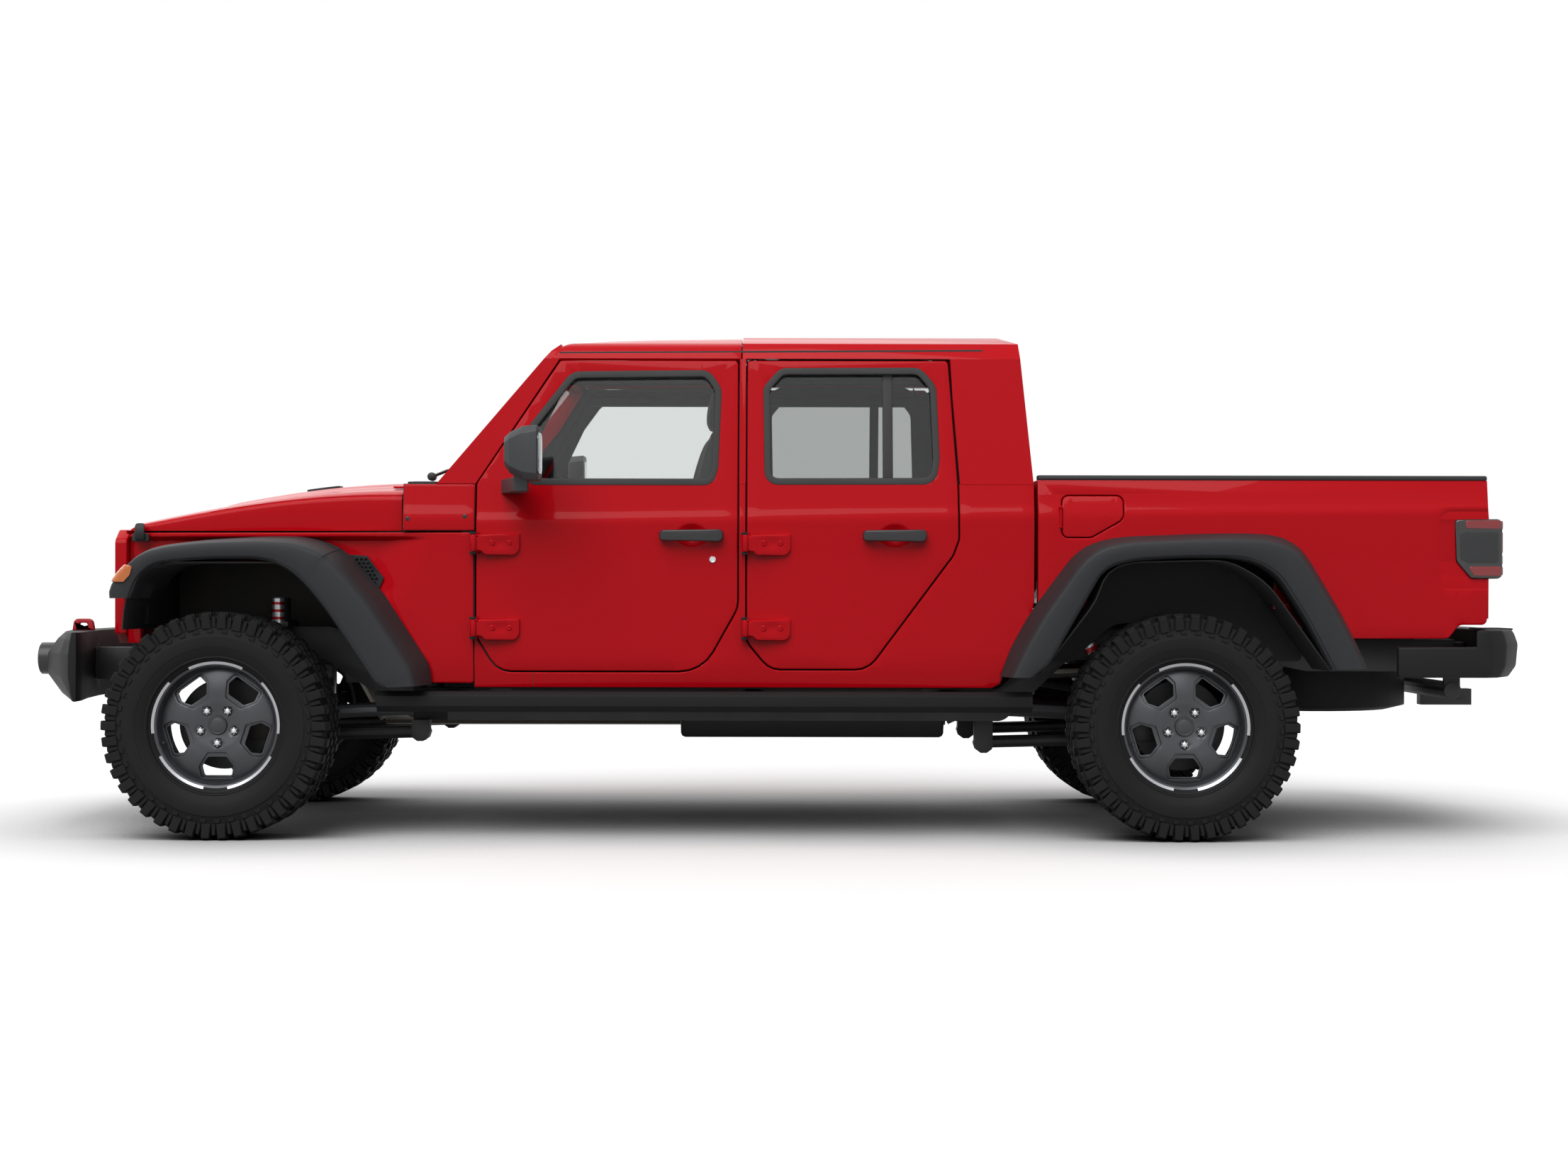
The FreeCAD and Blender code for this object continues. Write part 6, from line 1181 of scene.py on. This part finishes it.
marker = pressed(rounded([(-0.385, 0.926, 0.006), (-0.356, 0.964, 0.012), (-0.334, 0.985, 0.01),
    (-0.29, 0.985, 0.008), (-0.3, 0.95, 0.01), (-0.322, 0.926, 0.008)]), [], 0.016, 0.002, 0.006, on_flare)
sided("side_marker_{}", marker, amber)

# Fender vents: black grilles in the hollow behind each front flare, moulded with hexagon holes.
# A black plate closes the hollow behind them: painted shade for the dark space that the holes open into.
vent_outline = rounded([(0.428, 1.03, 0.008), (0.514, 1.024, 0.01), (0.58, 0.944, 0.01), (0.556, 0.89, 0.008)])


def inside(point, line):
    """Whether a point lies within a closed outline."""
    crossings = sum((one.y > point.y) != (two.y > point.y) and point.x < one.x + (two.x - one.x) * (point.y
        - one.y) / (two.y - one.y) for one, two in zip(line, line[1:] + line[:1]))
    return crossings % 2 == 1


cell = 0.0165
small_line = offset(vent_outline, -0.011)
cells = []
for row in range(-3, 14):
    for column in range(-2, 14):
        middle = Vector((0.42 + cell * (column + 0.5 * (row % 2)), 0.88 + cell * 0.866 * row))
        if inside(middle, small_line):
            cells.append([middle + Vector((math.sin(math.pi / 3 * k), math.cos(math.pi / 3 * k))) * cell * 0.4
                for k in range(6)])


def in_hollow(sunk):
    """A place behind the fender's outer surface; less sunk by the depth."""
    return lambda x, z, depth: on_fender(x, z, 0) + Vector((0, depth - sunk, 0))


sided("fender_vent_{}", pressed(vent_outline, cells, 0.008, 0.0012, 0.1, in_hollow(0.01), rings=1), moulded,
    crease=30)
# The plate behind the vent's holes is painted shade.
sided("fender_vent_back_{}", pressed(offset(vent_outline, -0.004), [], 0.002, 0.0005, 0.02, in_hollow(0.003),
    rings=1), black_liner_and_shade_sheet)

# Springs and dampers: wound steel coils round the axle seats, enamelled black.
# The twin-tube dampers are zinc-plated with anodised red bands, and a canister stands by the front one.
coil_steel = grained("painted_spring_steel", "steel", "#151517", "#222225", 0.42, 0.004, 0.0003)
damper_body = grained("zinc_plated_damper", "steel", "#C4C6C8", "#D4D6D8", 0.3, 0.004, 0.0001, 0.6)
damper_red = finish("anodised_red", "steel", "#B00D1C", 0.3, 0.4)
COIL_RADIUS = 0.051


def coil(x, y, low, high, wire, turns):
    """A round wire wound upwards between two heights."""
    bm = bmesh.new()
    hoop = bmesh.ops.create_circle(bm, segments=10, radius=wire)["verts"]
    rotate(bm, hoop, math.pi / 2, "X")
    move(bm, hoop, (COIL_RADIUS, 0, 0))
    steps = round(turns * 24)
    spin(bm, bm.verts[:] + bm.edges[:], 2 * math.pi * turns, steps, UP, (high - low - 2 * wire) / steps)
    closed(bm)
    move(bm, bm.verts, at(x, y, low + wire))
    return bm


def along(bm, start, end, profile, steps=24):
    """Add a round part between two points; profile is (share of the way, radius)."""
    run = end - start
    own = spun([(share * run.length, r) for share, r in profile], steps)
    bmesh.ops.rotate(own, verts=own.verts, cent=(0, 0, 0),
        matrix=Vector((0, 1, 0)).rotation_difference(run.normalized()).to_matrix())
    move(own, own.verts, start)
    return join(bm, own)


coils = join(coil(0.0, -0.5, 0.454, 0.76, 0.0075, 6.5), coil(3.487, -0.465, 0.456, 0.64, 0.008, 4.5))
sided("coil_springs_{}", coils, coil_steel, "springs_shocks")
TUBE = [(0.0, 0.0), (0.0, 0.02), (0.04, 0.03), (0.06, 0.031), (0.55, 0.031), (0.57, 0.027), (0.59, 0.024),
    (0.97, 0.024), (0.98, 0.018), (1.0, 0.018), (1.0, 0.0)]
CANISTER = [(0, 0.0), (0, 0.02), (0.05, 0.0245), (0.95, 0.0245), (1, 0.02), (1, 0.0)]
DAMPERS = [(at(0.152, -0.498, 0.398), at(0.152, -0.498, 0.76), TUBE, (0.62, 0.71, 0.8, 0.89), 0.045, 0.0268),
    (at(3.357, -0.54, 0.395), at(3.157, -0.54, 0.746), TUBE, (0.62, 0.71, 0.8, 0.89), 0.045, 0.0268),
    (at(0.152, -0.546, 0.77), at(0.152, -0.546, 0.872), CANISTER, (0.18, 0.45, 0.72), 0.1, 0.0256)]
tubes, bands = bmesh.new(), bmesh.new()
for foot, head, profile, band_shares, band_long, band_radius in DAMPERS:
    tubes = along(tubes, foot, head, profile)
    for share in band_shares:
        bands = along(bands, foot.lerp(head, share), foot.lerp(head, share + band_long), [(0, 0.0), (0, band_radius),
            (1, band_radius), (1, 0.0)])
sided("damper_tubes_{}", tubes, damper_body)
sided("damper_bands_{}", bands, damper_red)
piece("spare_tyre", softened("spare_wheel", 0.014, 3), tyre_rubber, "spare_wheel")

# Tub, engine and everything below the body: black carpet in the cab, chassis enamel and bare castings below. The
# whole tub takes the carpet's black, so its body-colour jambs show as painted shade behind the seams.
# Each keeps its solid's form, with its faces cleaned and its edges rolled over.
satin_chassis = grained("chassis_enamel", "frame_black", "#101011", "#1B1B1C", 0.5, 0.006, 0.0004, rough=(0.42, 0.66))
cast_metal = grained("sand_cast_iron", "iron", "#262524", "#3A3734", 0.62, 0.003, 0.0005, 0.6)
bare_alloy = grained("cast_aluminium", "aluminium", "#74767A", "#8B8D90", 0.45, 0.003, 0.0004, 0.9)
steel_pipe = grained("aluminised_steel", "steel", "#7C7872", "#9A968F", 0.38, 0.006, 0.0003, 1.0)
tank_plastic = grained("blow_moulded_polyethylene", "black_plastic", "#131314", "#1C1C1D", 0.5, 0.004, 0.0004)
# Carpet black over the whole tub: real carpet in the cab, and painted shade on the jambs behind the seams.
tub_black_and_seam_shade = grained("cabin_carpet", "body_red", "#111112", "#1B1B1D", 0.9, 0.0025, 0.0012)
bumper_plastic = grained("grained_bumper_plastic", "black_plastic", "#131314", "#19191B", 0.56, 0.003, 0.0005,
    rough=(0.5, 0.64), Specular_IOR_Level=0.2)
TUB_NARROWED = 0.992    # keeps the tub inside the painted skins
UNDERBODY = [("body_tub", tub_black_and_seam_shade, 0.003), ("frame", satin_chassis, 0.006), ("front_axle", satin_chassis, 0.005),
    ("rear_axle", satin_chassis, 0.005), ("suspension_links", satin_chassis, 0.004), ("engine_block", cast_metal,
    0.012), ("driveline", bare_alloy, 0.008), ("exhaust", steel_pipe, 0.003), ("fuel_tank", tank_plastic, 0.016),
    ("hitch_receiver", satin_chassis, 0.002), ("rock_rails", bumper_plastic, 0.006), ("knuckle_l", cast_metal, 0.004),
    ("knuckle_r", cast_metal, 0.004), ("roll_bar", moulded, 0.003), ("dashboard", trim_plastic, 0.008)]
for node_name, made, width in UNDERBODY:
    shape = softened(node_name, width)
    if node_name == "body_tub":
        bmesh.ops.scale(shape, verts=shape.verts, vec=(1, TUB_NARROWED, 1))
    body = node_name if node_name.startswith("knuckle") else "chassis"
    slot = "frame_black" if node_name in ("rock_rails", "roll_bar") else None
    piece(node_name + "_finished", shape, made, node_name, body=body, slot=slot, crease=40)

# Bumpers: blow-moulded covers over steel beams, charcoal and finely grained.
# Two red hooks stand on the front one.
hook_red = grained("red_powder_coat", "tow_red", "#A80F1F", "#BC1425", 0.42, 0.002, 0.0002)
for node_name in ("front_bumper", "rear_bumper"):
    piece(node_name + "_cover", softened(node_name, 0.01, 3, 8), bumper_plastic, node_name, crease=30)
piece("tow_hook_loops", softened("tow_hooks", 0.005, 3), hook_red, "tow_hooks")

# Mirrors: textured black caps on a short arm from the door.
# The glass is set into their rear face.
mirror_plastic = grained("textured_mirror_plastic", "black_plastic", "#2C2E30", "#343639", 0.5, 0.003, 0.0003)
for letter in "lr":
    piece(f"mirror_cap_{letter}", softened(f"mirror_{letter}", 0.016, 4, 20), mirror_plastic, f"mirror_{letter}",
        body=f"door_f{letter}", crease=40)
silvered = finish("silvered_glass", "steel", "#5E6366", 0.02, 1.0)
mirror_face = pressed(rounded([(0.944, 1.312, 0.03), (1.088, 1.312, 0.03), (1.09, 1.458, 0.03),
    (0.942, 1.458, 0.03)]), [], 0.004, 0.001, 0.2, flat_rear(1.176))
sided("mirror_glass_{}", mirror_face, silvered, body="door_f{}")

# Panes: tempered glass, clear in front and privacy-tinted behind.
# They keep their own solids, and only get a better material.
PANES = [("tempered_glass", "clear_glass", "#EDF0EF", ("glass_fl", "glass_fr", "windshield_glass")),
    ("privacy_glass", "tinted_glass", "#CBCECD", ("glass_rl", "glass_rr", "rear_window"))]
for finish_name, slot, hexed, names in PANES:
    pane = finish(finish_name, slot, hexed, 0.0, IOR=1.45, Transmission_Weight=1.0)
    for node_name in names:
        for place in frame["nodes"][node_name].material_slots:
            place.material = pane

# Seats: black woven cloth over moulded foam, with raised sides, sewn channels and separate headrests.
# Cloth would only round what these firm foams already are, so the pads are shaped directly.
seat_cloth = finish("woven_seat_cloth", "seat_fabric", "#161618", 0.86, Sheen_Weight=0.25, Sheen_Roughness=0.4)
tree = seat_cloth.node_tree
weave_place = add(tree, "ShaderNodeTexCoord").outputs["Object"]
THREAD = 0.0026
waves = [add(tree, "ShaderNodeTexWave", {"Vector": weave_place, "Scale": 2 * math.pi / (20 * THREAD),
    "Distortion": 0.6}, bands_direction=direction) for direction in ("Y", "DIAGONAL")]
weave = add(tree, "ShaderNodeMath", {0: waves[0].outputs["Fac"], 1: waves[1].outputs["Fac"]}, operation="MULTIPLY")
tint = add(tree, "ShaderNodeMixRGB", {"Fac": weave.outputs[0], "Color1": colour("#101012"),
    "Color2": colour("#242428")})
tree.links.new(tint.outputs[0], tree.nodes["Principled BSDF"].inputs["Base Color"])
bumped(seat_cloth, weave.outputs[0], 0.0008, 0.7)
PAD_CUTS = 23


def pad(name, middle, size, lean, channels=(), sides=0.0, dip=0.01, puff=0.012, stands_for=()):
    """A firm foam pad: size is its length along the car, its width and its thickness, before it leans."""
    bm = bmesh.new()
    bmesh.ops.create_cube(bm, size=2)
    bmesh.ops.subdivide_edges(bm, edges=bm.edges[:], cuts=PAD_CUTS, use_grid_fill=True)
    half = Vector(size) / 2
    for v in bm.verts:
        a, b, c = v.co
        r = (abs(a) ** 7 + abs(b) ** 7 + abs(c) ** 7) ** (1 / 7)
        crown = puff * (1 - a * a) * (1 - b * b)
        wing = sides * math.exp(-((abs(b) - 0.84) / 0.16) ** 2) * (1 - a ** 6)
        groove = sum(dip * math.exp(-((a / r * half.x - c0) / 0.007) ** 2) for c0 in channels) * (abs(b) < 0.72)
        seam = dip * 0.7 * math.exp(-(((abs(b) / r) - 0.7) * half.y / 0.007) ** 2) if sides else 0.0
        v.co = Vector((a / r * half.x, b / r * half.y, c / r * (half.z - puff - sides)))
        if c > 0:
            v.co.z += (crown + wing - groove - seam) * min(1.0, c) ** 2
        v.co.z -= sides * 0.5
    rotate(bm, bm.verts, math.radians(lean), "Y")
    move(bm, bm.verts, at(*middle))
    piece(name, bm, seat_cloth, *stands_for, crease=60)


for letter, y in (("l", -0.415), ("r", 0.415)):
    pad(f"front_cushion_{letter}", (1.378, y, 0.795), (0.53, 0.428, 0.185), 3.5, (-0.06, 0.03, 0.12), 0.018,
        stands_for=("seats",) if letter == "l" else ())
    pad(f"front_back_{letter}", (1.712, y, 1.16), (0.69, 0.428, 0.13), -76, (-0.14, -0.04, 0.06, 0.16), 0.016)
    pad(f"front_head_{letter}", (1.795, y, 1.575), (0.148, 0.258, 0.088), -80)
for name, y, width in (("wide", -0.216, 0.646), ("narrow", 0.326, 0.426)):
    pad(f"rear_cushion_{name}", (2.348, y, 0.795), (0.53, width, 0.185), 3.5, (-0.06, 0.06), 0.01)
    pad(f"rear_back_{name}", (2.682, y, 1.16), (0.69, width, 0.13), -76, (-0.12, 0.0, 0.12), 0.01)
pad("rear_head", (2.765, 0.0, 1.575), (0.148, 0.258, 0.088), -80)
stands = bmesh.new()
for x, y, width in ((1.15, -0.415, 0.43), (1.15, 0.415, 0.43), (2.12, 0.0, 1.08)):
    box(stands, (0.38, width - 0.14, 0.104), (x + 0.25, y, 0.665), 0.012, 3)
    for side in (-0.045, 0.045):
        stands = rod(stands, [at(x + 0.622, y + side, 1.44), at(x + 0.636, y + side, 1.54)], 0.006)
piece("seat_stands", stands, trim_plastic)

# Fog lamps: round clear lenses in black rings.
# They are set into the front bumper on each side of the frame.
FOG = (-0.751, -0.47, 0.64)
fog_ring = turned(bmesh.new(), FOG, [(-0.06, 0.04), (-0.06, 0.06), (-0.001, 0.06), (0.002, 0.057), (0.002, 0.052),
    (-0.014, 0.046), (-0.018, 0.0)], 32, TO_FRONT)
sided("fog_lamp_ring_{}", fog_ring, black_gloss)
fog_lens = turned(bmesh.new(), FOG, [(-0.014, 0.0), (-0.014, 0.046), (-0.008, 0.044), (-0.004, 0.0)], 32, TO_FRONT)
sided("fog_lamp_lens_{}", fog_lens, clear_lens)

# Bumper step pads: ribbed rubber on top of the rear bumper's corners.
# Nine ribs run along the car on each side.
step_pads = bmesh.new()
for k in range(9):
    box(step_pads, (0.11, 0.01, 0.007), (4.655, -0.56 - 0.022 * k, 0.763), 0.002, 1)
sided("step_pad_{}", step_pads, seal_rubber)
